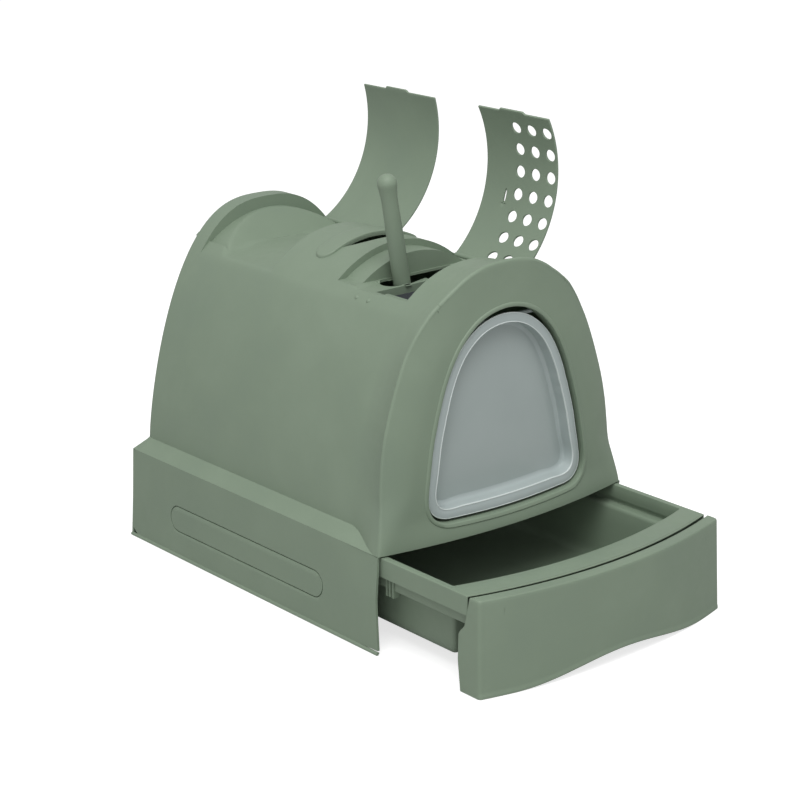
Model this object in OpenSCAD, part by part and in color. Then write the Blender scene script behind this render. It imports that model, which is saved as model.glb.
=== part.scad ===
// Drawer litter box: an arched hood over a pull-out tray, with two top lids, a swing door, a scoop
// and an odour filter. X is right, Y is back and Z is up. The drawer and both lids stand open.

/* [Hood] */
// Half width of the arch at its foot
arch_half_w = 177.9; // [170:0.1:182]
// Height of the arch foot above the floor
arch_foot_z = 129.3; // [126:0.1:136]
// Height of the top of the arch
arch_top_z = 425; // [418:0.5:432]
// Superellipse power across the arch
arch_power_x = 2.643; // [2.4:0.001:2.9]
// Superellipse power up the arch
arch_power_z = 1.36; // [1.3:0.01:1.45]
// Length of the hood at its corners
hood_len = 474.2; // [460:0.1:490]
// Wall thickness of the hood
wall = 3; // [2.5:0.1:3.4]
// Outward bow of the front face in plan
face_bow = 15; // [10:0.5:18]
// Distance of the bottom edge of the front face below the shoulder
face_drop = 5.5; // [4:0.1:6]
// Backward lean of the front face
face_lean = 3.2; // [2.6:0.1:3.6]

/* [Skirt] */
// Width of the shoulder outside the foot of the arch
shoulder_w = 19.4; // [17:0.1:21]
// Height of the shoulder
shoulder_h = 9.8; // [8:0.1:12]
// Outward lean of the side of the skirt
skirt_lean = 4.2; // [3:0.1:5]
// Outward flare of the skirt at the back
rear_flare = 12; // [8:0.5:14]
// Outward flare of the skirt at the front
front_flare = 5; // [3:0.5:7]
// Height of the bead round the foot of the skirt
foot_bead_h = 4; // [3:0.5:6]
// Depth of the bead round the foot of the skirt
foot_bead = 1.8; // [1:0.1:2.5]
// Front end of the engraved long slot line on the side
side_line_front_y = -145; // [-160:1:-120]
// Rear end of the engraved long slot line on the side
side_line_rear_y = 162; // [140:1:170]
// Lower edge of the engraved line
side_line_low_z = 34; // [28:1:40]
// Height of the engraved outline
side_line_h = 34; // [28:1:40]
// Width of the engraved line
side_line_w = 1.2; // [0.8:0.1:1.8]

/* [Hood top] */
// Radius of the lowered top and of the closed lids
top_r = 145; // [144.5:0.1:145.5]
// Depth of the lowered top below the arch
top_drop = 11.5; // [11:0.1:12]
// Length of the top in front of the recess
top_front_l = 65.1; // [61:0.5:68]
// Length of the rim behind the rear compartment
top_rear_l = 26.1; // [24:0.5:29]
// Front edge of the carry band
band_front_y = -46; // [-48:0.5:-44]
// Rear edge of the carry band
band_rear_y = 69; // [66:0.5:71]
// Depth of the floor of the rear compartment below the arch
rear_floor_drop = 47; // [46:0.2:48]
// Radius of the floor of the rear compartment
rear_floor_r = 680; // [650:5:720]
// Run of the sloping rear wall of that compartment
rear_slope_run = 36; // [30:1:40]
// Depth of the floor of the front recess below the arch
front_floor_drop = 45; // [44:0.2:46]
// Half width of the front recess
recess_half_w = 93; // [93:0.2:94]
// Depth of the curved ledge in the front recess
ledge_drop = 8; // [7:0.5:10]
// Length of that ledge along the hood
ledge_depth = 26; // [22:1:28]
// Half length of the scoop slot
slot_half_l = 63; // [61:1:66]
// Front edge of the scoop slot
slot_front_y = -106; // [-107:0.5:-105]
// Width of the scoop slot
slot_w = 28; // [27:0.5:29]
// Depth of the filter well below the recess floor
well_depth = 20; // [18:1:24]
// Inset of the filter well from the side of the recess
well_inset = 5; // [4:0.5:9]
// Number of air slots in the floor of the well
well_slots = 9; // [5:1:11]

/* [Carry handle] */
// Middle of the handle strap along the hood
handle_y = 12; // [10:0.5:14]
// Width of the handle strap
handle_w = 29; // [26:0.5:31]
// Half length of the handle strap across the hood
handle_half_l = 75; // [70:1:78]
// Height of the strap above the band
handle_rise = 3; // [2:0.2:4]
// Half length of the finger slot in front of the strap
finger_half_l = 47; // [42:1:50]
// Greatest width of the finger slot
finger_w = 19; // [16:0.5:20]

/* [Lids] */
// Gap beside a closed lid
lid_side_gap = 1; // [0.8:0.1:1.2]
// Thickness of a lid
lid_t = 3; // [2.4:0.1:3.2]
// Gap at each end of a lid
lid_end_gap = 1.5; // [1.2:0.1:2]
// Angle that the rear lid stands open
rear_lid_angle = 112.3; // [105:0.1:113]
// Angle that the front lid stands open
front_lid_angle = 101.4; // [95:0.1:103]
// Radius of the hinge barrel
barrel_r = 3.4; // [3:0.1:3.6]
// Radius of a hinge pin
hinge_pin_r = 1.8; // [1.5:0.1:2]
// Diameter of a vent hole
vent_d = 14.5; // [12:0.5:16]
// Distance between vent rows along the arc
vent_step_l = 28; // [26:0.5:29]
// Distance between vent columns
vent_step_y = 26; // [24:0.5:27]
// Middle column of vents along the hood
vent_mid_y = -132; // [-134:0.5:-128]

/* [Door] */
// Distance of the top of the door opening below the arch
door_top_drop = 55; // [54:0.5:57]
// Height of the bottom corners of the door opening above the foot of the arch
door_sill = 5.5; // [4:0.1:7]
// Drop of the bottom edge at the middle
door_sag = 2.5; // [1.5:0.5:4]
// Half width of the door opening at its widest
door_half_w = 124; // [122:0.5:126]
// Gap round the door
door_gap = 4.5; // [4.3:0.1:6]
// Thickness of the door sheet
door_t = 2.5; // [2:0.1:3]
// Depth of the dished middle of the door
dish_depth = 18; // [14:1:20]
// Width of the flat rim of the door
dish_rim = 12; // [11:0.5:14]
// Further drop of the top of the door below the opening
door_drop = 4; // [4:0.5:6]
// Set-back of the door from the face
door_back = 5; // [4:0.5:6]
// Depth of the collar inside the opening
collar_depth = 13; // [11:0.5:14]
// Distance of the door hinge below the top of the opening
door_hinge_drop = 15.5; // [15:0.5:17]
// Set-back of the door hinge from the face
door_hinge_back = 15; // [13:0.5:16]
// Radius of a door pin
door_pin_r = 2.5; // [2:0.1:2.8]
// Width of the raised bead round the opening
door_bead_w = 5; // [4:0.5:6]
// Height of the raised bead round the opening
door_bead_h = 1.2; // [0.8:0.1:1.8]

/* [Drawer] */
// Distance that the drawer stands pulled out
drawer_out = 160.9; // [120:0.1:165]
// Gap between the tray rim and the front face
rim_top_gap = 1.6; // [1.2:0.1:3]
// Gap between the tray rim and the outside of the skirt
rim_side_gap = 8.3; // [7.5:0.1:10]
// Width of the side rim
rim_w = 15; // [12:0.5:17]
// Width of the front rim
rim_front_w = 31; // [26:0.5:34]
// Width of the rear rim
rim_rear_w = 13; // [10:0.5:16]
// Set-back of the corner of the tray rim with the drawer shut
rim_front_l = 17.8; // [15:0.1:21]
// Distance of the tray from the back of the hood with the drawer shut
tray_rear_l = 9.1; // [8:0.1:13]
// Forward bow of the tray and of the drawer front
drawer_bow = 28; // [22:0.5:30]
// Wall thickness of the tray
tray_t = 2.5; // [2:0.1:2.8]
// Height of the underside of the tray
tray_low_z = 17; // [15:0.5:20]
// Inward lean of the tub below the rim
tub_lean = 24; // [21:0.5:29]
// Height of the side flange under the rim
flange_h = 22.4; // [21:0.1:22.5]
// Inset of the second step of the tray
step_inset = 6; // [5.5:0.1:7]
// Height of the side of the tray above the foot of the second step
step_h = 36.4; // [32:0.1:38]
// Height of the drawer front above the tray rim
front_over = 0.8; // [0.4:0.1:1]
// Inset of the drawer front from the outside of the skirt
front_inset = 7.3; // [6.3:0.1:9]
// Outward lean of the ends of the drawer front
front_end_lean = 2.8; // [2:0.1:3.2]
// Wall thickness of the drawer front
front_t = 3; // [2.6:0.1:3.4]
// Gap between the tray rim and the drawer front
finger_gap = 17; // [14:0.5:19]
// Height of the wave in the bottom edge of the drawer front
wave_h = 15; // [8:0.5:18]
// Half length of that wave
wave_half_l = 120; // [90:1:130]
// Depth of the side returns at their top
return_top = 14.5; // [12:0.5:18]
// Depth of the side returns at mid height
return_mid = 31; // [26:0.5:34]

/* [Base frame] */
// Thickness of the base frame
frame_t = 3; // [2.5:0.1:3.4]
// Gap between the tray step and the runner ledges
runner_gap = 1.3; // [0.8:0.1:1.6]
// Distance of the runners from the front of the hood
runner_front_l = 49.1; // [47:0.1:67]
// Width of each cross strip
strip_w = 44; // [30:1:60]

/* [Scoop] */
// Lean of the scoop to the left
scoop_lean = 7.2; // [4:0.1:8]
// Sideways place of the scoop where it passes the slot
scoop_x = -39; // [-42:0.5:-34]
// Place of the scoop along the hood
scoop_y = -92; // [-92.5:0.5:-91.5]
// Height of the handle end along its axis above the recess floor
scoop_up = 129; // [118:1:132]
// Radius of the handle
grip_r = 11.2; // [10:0.1:11.3]
// Radius of the rounded handle end
knob_r = 12.2; // [11.3:0.1:12.3]
// Length of the scoop
scoop_len = 240; // [225:1:242]
// Width of the blade
blade_w = 98; // [88:1:100]
// Length of the blade
blade_len = 96; // [88:1:98]
// Depth of the blade walls
blade_depth = 19; // [14:0.5:20]
// Thickness of the blade
blade_t = 2.4; // [2:0.1:2.8]
// Number of sieve slots in the blade
blade_slots = 7; // [5:1:9]

/* [Filter] */
// Thickness of the filter pad
pad_t = 10; // [8:0.5:12]

/* [Fits] */
// Clearance between seated pieces
seat_gap = 0.3; // [0.25:0.05:0.4]
// Radial clearance of a pin in its hole
pin_gap = 0.08; // [0.05:0.01:0.1]
// Overrun of a cut past a face
cut = 2; // [1:0.5:3]

/* [Hidden] */
$fn = 96;

sage = "#7c8a77";
smoke = "#8c9896";
slate = "#2e353d";
one_turn = 360;
half_turn = 180;
quarter_turn = 90;
two = 2;
facet_fn = 32;

front_y = -hood_len / two;
rear_y = hood_len / two;
big = hood_len * two;
arch_rise = arch_top_z - arch_foot_z;
arch_step = 2.5;
skirt_top_half_w = arch_half_w + shoulder_w;
skirt_foot_half_w = skirt_top_half_w + skirt_lean;
shoulder_z = arch_foot_z - shoulder_h;
face_bottom_z = shoulder_z - face_drop;

inner_r = top_r - wall;
top_axis_z = arch_top_z - top_drop - top_r;
top_front_y = front_y + top_front_l;
top_rear_y = rear_y - top_rear_l;
rear_floor_z = arch_top_z - rear_floor_drop;
front_floor_z = arch_top_z - front_floor_drop;
ledge_r = top_r - ledge_drop;
well_half_w = recess_half_w - well_inset;
lid_half_w = recess_half_w - lid_side_gap;

door_top_z = arch_top_z - door_top_drop;
door_low_z = arch_foot_z + door_sill;
door_hinge_z = door_top_z - door_hinge_drop;
lean_rise = (hood_len + face_bow) * tan(face_lean);

rim_z = face_bottom_z - rim_top_gap;
rim_half_w = skirt_top_half_w - rim_side_gap;
rim_front_y = front_y + rim_front_l;
tray_rear_y = rear_y - tray_rear_l;
tray_low_half_w = rim_half_w - tub_lean;
step_half_w = rim_half_w - step_inset;
step_low_z = rim_z - step_h;
front_top_z = rim_z + front_over;
front_half_w = skirt_top_half_w - front_inset;
front_foot_half_w = front_half_w + front_end_lean;
runner_half_w = step_half_w + runner_gap;
runner_front_y = front_y + runner_front_l;

// Points of the arch from the right foot over the top to the left foot.
function sgn_pow(v, p) = sign(v) * pow(abs(v), p);
function arch_points() = [for (a = [0 : arch_step : half_turn])
    [arch_half_w * sgn_pow(cos(a), two / arch_power_x),
     arch_foot_z + arch_rise * sgn_pow(sin(a), two / arch_power_z)]];
// Outline of the hood across its length, with shoulder and skirt, down past the floor.
function hood_points() = concat([[skirt_foot_half_w, 0], [skirt_top_half_w, shoulder_z]], arch_points(),
    [[-skirt_top_half_w, shoulder_z], [-skirt_foot_half_w, 0]]);
// Unit direction from one point to another, and the right-hand normal of a direction.
function dir(p, q) = (q - p) / norm(q - p);
function side(v) = [v[1], -v[0]];
// Moves every vertex of a counter-clockwise outline inwards by one distance, with mitred corners.
function inset(pts, d) = [for (i = [0 : len(pts) - 1])
    let (p = pts[i],
         a = side(dir(pts[(i + len(pts) - 1) % len(pts)], p)),
         b = side(dir(p, pts[(i + 1) % len(pts)])))
    p - d * (a + b) / (1 + a * b)];
// Same outline inset, with its two floor corners carried below the floor.
function open_inset(pts, d) = let (q = inset(pts, d), n = len(pts) - 1)
    [for (i = [0 : n]) (i == 0 || i == n) ? [pts[i][0] - sign(pts[i][0]) * d, -cut] : q[i]];

// Turns an outline in X and Z into a prism between two places along Y.
module along_y(y0, y1) {
    translate([0, y1, 0]) rotate([quarter_turn, 0, 0]) linear_extrude(height = y1 - y0) children();
}

// Turns an outline in Y and Z into a prism between two places along X.
module along_x(x0, x1) {
    translate([x0, 0, 0]) rotate([quarter_turn, 0, quarter_turn]) linear_extrude(height = x1 - x0) children();
}

// Cylinder that lies along Y with its axis over a point in X and Z.
module rod_y(r, x, z, y0, y1) {
    translate([x, y1, z]) rotate([quarter_turn, 0, 0]) cylinder(r = r, h = y1 - y0);
}

// Cylinder that lies along X.
module rod_x(r, y, z, x0, x1) {
    translate([x0, y, z]) rotate([0, quarter_turn, 0]) cylinder(r = r, h = x1 - x0);
}

// Upright cylinder whose front reaches the bowed plan line at a corner place y, moved by d inwards.
module bow_body(half_w, bow, y, d, z0, z1) {
    r = (half_w * half_w + bow * bow) / (two * bow);
    translate([0, y - bow + r, z0]) cylinder(r = r - d, h = z1 - z0, $fn = one_turn);
}

// Leans a body back about the bottom edge of the front face.
module leaned() {
    translate([0, front_y, face_bottom_z]) rotate([-face_lean, 0, 0])
        translate([0, -front_y, -face_bottom_z]) children();
}

// Block between two corners.
module block(p, q) {
    translate(p) cube(q - p);
}
top_z = arch_top_z + cut;
deep_cut = cut * two * two;
front_foot_y = front_y - front_flare;
back_foot_y = rear_y + rear_flare;
knee_z = face_bottom_z / two;
knee_share = 0.3;

// Side outline of the skirt, flared at both ends. Moved in by d it has no front and no floor.
function skirt_side(d) = concat(
    [[d > 0 ? front_y - face_bow - cut : front_foot_y, d > 0 ? -cut : 0], [back_foot_y - d, d > 0 ? -cut : 0],
     [rear_y + rear_flare * knee_share - d, knee_z], [rear_y - d, face_bottom_z - d]],
    d > 0 ? [[rear_y - d - cut, face_bottom_z], [front_y - face_bow - cut, face_bottom_z]]
          : [[front_y, face_bottom_z], [front_y - front_flare * knee_share, knee_z]]);

// Hood as one body: arch with bowed face and flat back, over the flared skirt. Moved in by d it is the
// room inside.
module hood_body(d) {
    low = face_bottom_z - (d > 0 ? deep_cut : cut * two);
    intersection() {
        along_y(front_y - face_bow - cut * two, back_foot_y + cut)
            polygon(d > 0 ? open_inset(hood_points(), d) : hood_points());
        union() {
            intersection() {
                leaned() bow_body(skirt_top_half_w, face_bow, front_y, d, low, top_z + lean_rise);
                block([-big, front_y - big, 0], [big, rear_y - d, top_z + cut]);
            }
            along_x(-big, big) polygon(skirt_side(d));
        }
    }
}

// Bead round the foot of the skirt, open at the front.
module foot_ring() {
    difference() {
        block([-skirt_foot_half_w - foot_bead, front_foot_y, 0],
              [skirt_foot_half_w + foot_bead, back_foot_y + foot_bead, foot_bead_h]);
        block([-skirt_foot_half_w + wall, front_foot_y - cut, -cut],
              [skirt_foot_half_w - wall, back_foot_y - wall, foot_bead_h + cut]);
    }
}

// Body that the top is cut down to: one radius, then a rise to the full arch at the front face.
front_rise = 18;
rise_steps = 10;
rise_power = 1.7;
rise_len = top_front_y - front_y + face_bow;
module top_keep(d) {
    translate([0, top_front_y, top_axis_z]) rotate([quarter_turn, 0, 0]) rotate_extrude()
        polygon(concat([[0, top_front_y - top_rear_y - cut], [top_r - d, top_front_y - top_rear_y - cut]],
            [for (i = [0 : rise_steps]) [top_r - d + front_rise * pow(i / rise_steps, rise_power),
                                         rise_len * i / rise_steps]],
            [[0, rise_len]]));
}

// Everything above the lowered top.
relief_z = top_axis_z + top_r / two;
module top_relief(d) {
    difference() {
        block([-big, front_y - face_bow - cut, relief_z], [big, top_rear_y + d, top_z]);
        top_keep(d);
    }
}

slope_foot_y = top_rear_y - rear_slope_run;
slope_run = rear_slope_run * (top_z - rear_floor_z) / (top_axis_z + top_r - rear_floor_z);

// Space above the curved floor of the rear compartment, up to its sloping wall, grown by d.
module rear_space(d) {
    difference() {
        along_x(-big, big) polygon([[band_rear_y - d, relief_z], [slope_foot_y + d, relief_z],
            [slope_foot_y + d, rear_floor_z], [slope_foot_y + d + slope_run, top_z],
            [band_rear_y - d, top_z]]);
        rod_y(rear_floor_r - d, 0, rear_floor_z - rear_floor_r, band_rear_y - cut - d, top_rear_y + big);
    }
}

// Seat of a closed lid between two places along the hood, grown by d.
module lid_seat(half_w, y0, y1, d) {
    difference() {
        block([-half_w - d, y0 - d, relief_z], [half_w + d, y1 + d, top_z]);
        rod_y(inner_r - seat_gap - d, 0, top_axis_z, y0 - cut - d, y1 + cut + d);
    }
}

// Rear compartment with the seat of its lid.
module rear_pocket() {
    rear_space(0);
    lid_seat(recess_half_w, band_rear_y, top_rear_y, 0);
}

recess_front_y = top_front_y + cut;
ledge_y = band_front_y - cut * two - ledge_depth;
slot_rear_y = slot_front_y + slot_w;
bar_w = 4;
well_rear_y = slot_front_y - bar_w;
well_front_y = recess_front_y + cut / two;
well_floor_z = front_floor_z - well_depth;

// Front recess: seat of its lid, curved ledge, flat floor and the filter well.
module front_pocket() {
    lid_seat(recess_half_w, recess_front_y, band_front_y, 0);
    block([-recess_half_w, recess_front_y, front_floor_z], [recess_half_w, ledge_y, top_z]);
    difference() {
        block([-recess_half_w, ledge_y - cut, front_floor_z], [recess_half_w, band_front_y, top_z]);
        rod_y(ledge_r, 0, top_axis_z, ledge_y, band_front_y + cut);
    }
    block([-well_half_w, well_front_y, well_floor_z], [well_half_w, well_rear_y, top_z]);
}

guide_w = 9;

// Round-ended slot through the recess floor, with two lugs that guide the scoop.
module scoop_slot() {
    r = slot_w / two;
    lug = guide_w / two;
    lug_y = grip_r + seat_gap + lug;
    translate([0, 0, front_floor_z - wall - cut]) linear_extrude(height = wall + cut * two) difference() {
        translate([0, slot_front_y + r]) union() {
            square([(slot_half_l - r) * two, slot_w], center = true);
            for (s = [-1, 1]) translate([s * (slot_half_l - r), 0]) circle(r = r);
        }
        for (s = [-1, 1]) translate([scoop_x, scoop_y + s * lug_y]) square([guide_w, guide_w], center = true);
    }
}

slot_pitch = well_half_w * two / (well_slots + 1);
slot_margin = 9;
air_slot_share = 0.45;

// Air slots through the floor of the well.
module well_grille() {
    for (i = [1 : well_slots])
        translate([-well_half_w + slot_pitch * (i - air_slot_share / two), well_front_y + slot_margin,
                   well_floor_z - wall - cut])
            cube([slot_pitch * air_slot_share, well_rear_y - well_front_y - slot_margin * two,
                  wall + cut * two]);
}

// Crescent finger slot in front of the handle strap.
module finger_slot() {
    y0 = handle_y - handle_w / two - seat_gap;
    r = (finger_half_l * finger_half_l + finger_w * finger_w) / (two * finger_w);
    intersection() {
        translate([0, y0 - finger_w + r, relief_z]) cylinder(r = r, h = top_r);
        block([-finger_half_l - cut, y0 - finger_w - cut, relief_z], [finger_half_l + cut, y0, top_z]);
    }
}

hinge_x = lid_half_w;
hinge_z = top_axis_z + sqrt(top_r * top_r - lid_half_w * lid_half_w);
barrel_gap = 1;
room_r = barrel_r + barrel_gap;
pin_l = 7;

tab_l = 41;
tab_out = 2.5;
tab_room = 2;
front_tab_y = -106;
rear_tab_y = 144;

// Notch for the tab on the free edge of the front lid, grown by d.
module lid_notch(d) {
    l = tab_l / two + tab_room;
    lid_seat(lid_half_w + tab_out + tab_room, front_tab_y - l, front_tab_y + l, d);
}

// Room inside the hood under the roof of each stretch, with solid stock left round the lid hinges.
module cabin() {
    difference() {
        hood_body(wall);
        top_relief(wall);
        block([-big, recess_front_y - wall, well_floor_z - wall], [big, well_rear_y + wall, top_z]);
        block([-big, well_rear_y, front_floor_z - wall], [big, ledge_y + wall, top_z]);
        difference() {
            block([-big, ledge_y, front_floor_z - wall], [big, band_front_y + wall, top_z]);
            rod_y(ledge_r - wall, 0, top_axis_z, ledge_y + wall, band_front_y + wall + cut);
        }
        lid_seat(recess_half_w, recess_front_y, band_front_y, wall);
        lid_notch(wall);
        rear_space(wall);
        rod_y(room_r + wall, hinge_x, hinge_z, recess_front_y - pin_l - cut * two,
              top_rear_y + pin_l + cut * two);
    }
}

// Outline of the door opening from its bottom corner to its top, as shares of height and half width.
door_shares = [[0, 0.79], [0.012, 0.87], [0.035, 0.94], [0.07, 0.982], [0.12, 1], [0.18, 0.988],
               [0.25, 0.967], [0.318, 0.945], [0.403, 0.915], [0.488, 0.872], [0.572, 0.824],
               [0.657, 0.771], [0.72, 0.719], [0.784, 0.655], [0.84, 0.585], [0.885, 0.51],
               [0.925, 0.425], [0.958, 0.33], [0.982, 0.22], [0.996, 0.1]];
sag_steps = 12;
function door_z(s) = door_low_z + (door_top_z - door_low_z) * s;
function door_points() = concat(
    [for (i = [-sag_steps + 1 : sag_steps - 1]) let (u = i / sag_steps)
        [door_half_w * door_shares[0][1] * u, door_low_z - door_sag * (1 - u * u)]],
    [for (s = door_shares) [door_half_w * s[1], door_z(s[0])]], [[0, door_top_z]],
    [for (i = [len(door_shares) - 1 : -1 : 0])
        [-door_half_w * door_shares[i][1], door_z(door_shares[i][0])]]);

face_rear_y = front_y + collar_depth * two;

// Leaning shell between two depths behind the bowed face.
module face_shell(d0, d1) {
    high = arch_top_z + lean_rise;
    leaned() difference() {
        bow_body(skirt_top_half_w, face_bow, front_y, d0, face_bottom_z, high);
        bow_body(skirt_top_half_w, face_bow, front_y, d1, face_bottom_z - cut, high + cut);
    }
}

// Ring of a face shell round the door opening, from its edge to a distance outside it.
module face_ring(d0, d1, grow) {
    intersection() {
        face_shell(d0, d1);
        along_y(front_y - face_bow - cut * two, face_rear_y) polygon(inset(door_points(), -grow));
    }
}

door_hinge_y = front_y - face_bow + door_hinge_back + (door_hinge_z - face_bottom_z) * tan(face_lean);
ear_x = 27;
boss_x = 44;
boss_out = 62;
boss_r = 5.5;

// Bosses that hold the door pins, one each side of the opening.
module door_bosses() {
    for (s = [0, 1]) mirror([s, 0, 0]) rod_x(boss_r, door_hinge_y, door_hinge_z, boss_x, boss_out);
}

// Room for the lid barrels and holes for their pins.
module lid_rooms() {
    rod_y(room_r, hinge_x, hinge_z, recess_front_y, band_front_y);
    rod_y(room_r, hinge_x, hinge_z, band_rear_y, top_rear_y);
    for (y = [[band_front_y - cut, band_front_y + pin_l], [recess_front_y - pin_l, recess_front_y + cut],
              [band_rear_y - pin_l, band_rear_y + cut], [top_rear_y - cut, top_rear_y + pin_l]])
        rod_y(hinge_pin_r + pin_gap, hinge_x, hinge_z, y[0] - seat_gap, y[1] + seat_gap);
}

// Round-ended line cut in both sides of the skirt.
line_depth = 1.2;
module side_line() {
    r = side_line_h / two;
    l = side_line_rear_y - side_line_front_y - side_line_h;
    module stadium(k) {
        square([l, (r - k) * two], center = true);
        for (s = [-1, 1]) translate([s * l / two, 0]) circle(r = r - k);
    }
    difference() {
        along_x(-big, big) translate([(side_line_rear_y + side_line_front_y) / two, side_line_low_z + r])
            difference() {
                stadium(0);
                stadium(side_line_w);
            }
        along_y(-big, big) polygon(open_inset(hood_points(), line_depth));
    }
}

// Two small latch bumps on the dome beside the front lid.
bump_r = 3.6;
bump_sink = 1.8;
bump_angle = 45.2;
bump_y = [-93, -114];
module latch_bumps() {
    for (y = bump_y) translate([0, y, top_axis_z]) rotate([0, -bump_angle, 0])
        translate([0, 0, top_r - bump_sink]) sphere(r = bump_r, $fn = facet_fn);
}

module hood_shell() {
    color(sage) difference() {
        union() {
            difference() {
                union() {
                    hood_body(0);
                    foot_ring();
                }
                top_relief(0);
            }
            face_ring(-door_bead_h, wall, door_bead_w);
            latch_bumps();
        }
        difference() {
            cabin();
            face_ring(wall / two, collar_depth, wall);
            door_bosses();
        }
        rear_pocket();
        front_pocket();
        scoop_slot();
        well_grille();
        finger_slot();
        along_y(front_y - face_bow - cut * two, face_rear_y) polygon(door_points());
        rod_x(door_pin_r + pin_gap, door_hinge_y, door_hinge_z, -boss_out + wall, boss_out - wall);
        lid_rooms();
        lid_notch(0);
        side_line();
    }
}

// Strap that follows the band, with round ends.
module carry_handle() {
    r = handle_w / two;
    color(sage) intersection() {
        difference() {
            rod_y(top_r + handle_rise, 0, top_axis_z, handle_y - r, handle_y + r);
            rod_y(top_r, 0, top_axis_z, handle_y - r - cut, handle_y + r + cut);
        }
        translate([0, handle_y, top_axis_z]) linear_extrude(height = top_r * two) union() {
            square([(handle_half_l - r) * two, handle_w], center = true);
            for (s = [-1, 1]) translate([s * (handle_half_l - r), 0]) circle(r = r);
        }
    }
}

ledge_top_z = rim_z - flange_h - seat_gap;
function skirt_in(z) = skirt_foot_half_w - wall + (skirt_top_half_w - skirt_foot_half_w) * z / shoulder_z;
frame_rear_y = tray_rear_y + cut;
strip_front_y = -130;

// Runner sides, rear bar and cross strips as one open frame.
module base_frame() {
    x0 = skirt_in(0) - seat_gap;
    x1 = skirt_in(ledge_top_z) - seat_gap;
    rear = frame_rear_y + frame_t;
    color(sage) union() {
        for (s = [0, 1]) mirror([s, 0, 0]) along_y(runner_front_y, rear) polygon([
            [x0 - frame_t, 0], [x0, 0], [x1, ledge_top_z], [runner_half_w, ledge_top_z],
            [runner_half_w, ledge_top_z - frame_t], [x1 - frame_t, ledge_top_z - frame_t]]);
        block([-x1 + cut, frame_rear_y, 0], [x1 - cut, rear, ledge_top_z]);
        for (y = [strip_front_y, 0, rear - strip_w / two])
            block([-x0 + cut, y - strip_w / two, 0], [x0 - cut, y + strip_w / two, frame_t]);
    }
}

tray_y0 = rim_front_y - drawer_out;
tray_y1 = tray_rear_y - drawer_out;
plan_r = 22;

// Plan with a bowed front and round rear corners, between two heights.
module tray_plan(d, r, z0, z1) {
    half = rim_half_w - d;
    rear = tray_y1 - d;
    start = tray_y0 - drawer_bow;
    intersection() {
        bow_body(rim_half_w, drawer_bow, tray_y0, d, z0, z1);
        translate([0, 0, z0]) linear_extrude(height = z1 - z0) union() {
            translate([-half, start]) square([half * two, rear - r - start]);
            translate([-half + r, start]) square([(half - r) * two, rear - start]);
            for (s = [-1, 1]) translate([s * (half - r), rear - r]) circle(r = r);
        }
    }
}

// Tub with sloping walls and round corners, moved in by d.
module tub(d) {
    low = tray_low_z + d;
    top = rim_z + (d > 0 ? cut : -tray_t / two);
    half = rim_half_w - rim_w + tray_t - d;
    half_low = tray_low_half_w - d;
    front = tray_y0 + rim_front_w - tray_t + d;
    rear = tray_y1 - rim_rear_w + tray_t - d;
    lean = half - half_low;
    intersection() {
        bow_body(rim_half_w, drawer_bow, front, 0, low, top);
        along_y(tray_y0 - big, tray_y1 + big)
            polygon([[-half_low, low], [half_low, low], [half, top], [-half, top]]);
        along_x(-big, big) polygon([[front - drawer_bow + lean, low], [rear - lean, low], [rear, top],
                                    [front - drawer_bow, top]]);
        translate([0, 0, low]) linear_extrude(height = top - low) hull()
            for (s = [-1, 1], y = [front - plan_r, rear - plan_r])
                translate([s * (half - plan_r), y]) circle(r = plan_r);
    }
}

rib_front_y = -254;
rib_pitch = 5.5;
rib_w = 2.2;
rib_low_z = 68;
rib_count = 3;
rib_out = runner_gap - seat_gap;

// Tray: flange with a second step under it, ribs on the step, and the tub.
module litter_tray() {
    color(sage) difference() {
        union() {
            difference() {
                union() {
                    tray_plan(0, rim_w, rim_z - flange_h, rim_z);
                    tray_plan(rim_half_w - step_half_w, rim_w, step_low_z, rim_z);
                }
                difference() {
                    tray_plan(tray_t, rim_w, step_low_z - cut, rim_z - tray_t);
                    difference() {
                        tray_plan(rim_half_w - step_half_w, rim_w, step_low_z - cut * two, rim_z);
                        tray_plan(rim_half_w - step_half_w + tray_t, rim_w, step_low_z - cut * two, rim_z);
                    }
                }
            }
            tub(0);
            for (s = [0, 1], i = [0 : rib_count - 1]) mirror([s, 0, 0])
                block([step_half_w - rim_w + tray_t, rib_front_y + rib_pitch * i, rib_low_z],
                      [step_half_w + rib_out, rib_front_y + rib_pitch * i + rib_w,
                       rim_z - flange_h + tray_t / two]);
        }
        tub(tray_t);
    }
}

front_y0 = tray_y0 - finger_gap - front_t;
front_lean = 6;
clip_z = 92;
clip_h = 9;
clip_w = 22;
clip_x = [-150, -62, 62, 150];
wave_steps = 24;
return_shares = [0.3, 0.6, 0.7];
return_step = 10;

// Body inside the bowed and leaning plan of the drawer front, moved in by d.
module front_cone(d, z0, z1) {
    r = (front_half_w * front_half_w + drawer_bow * drawer_bow) / (two * drawer_bow);
    k = front_lean / front_top_z;
    translate([0, front_y0 - drawer_bow + r, z0])
        cylinder(r1 = r - d + k * (front_top_z - z0), r2 = r - d + k * (front_top_z - z1), h = z1 - z0,
                 $fn = one_turn);
}

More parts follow.
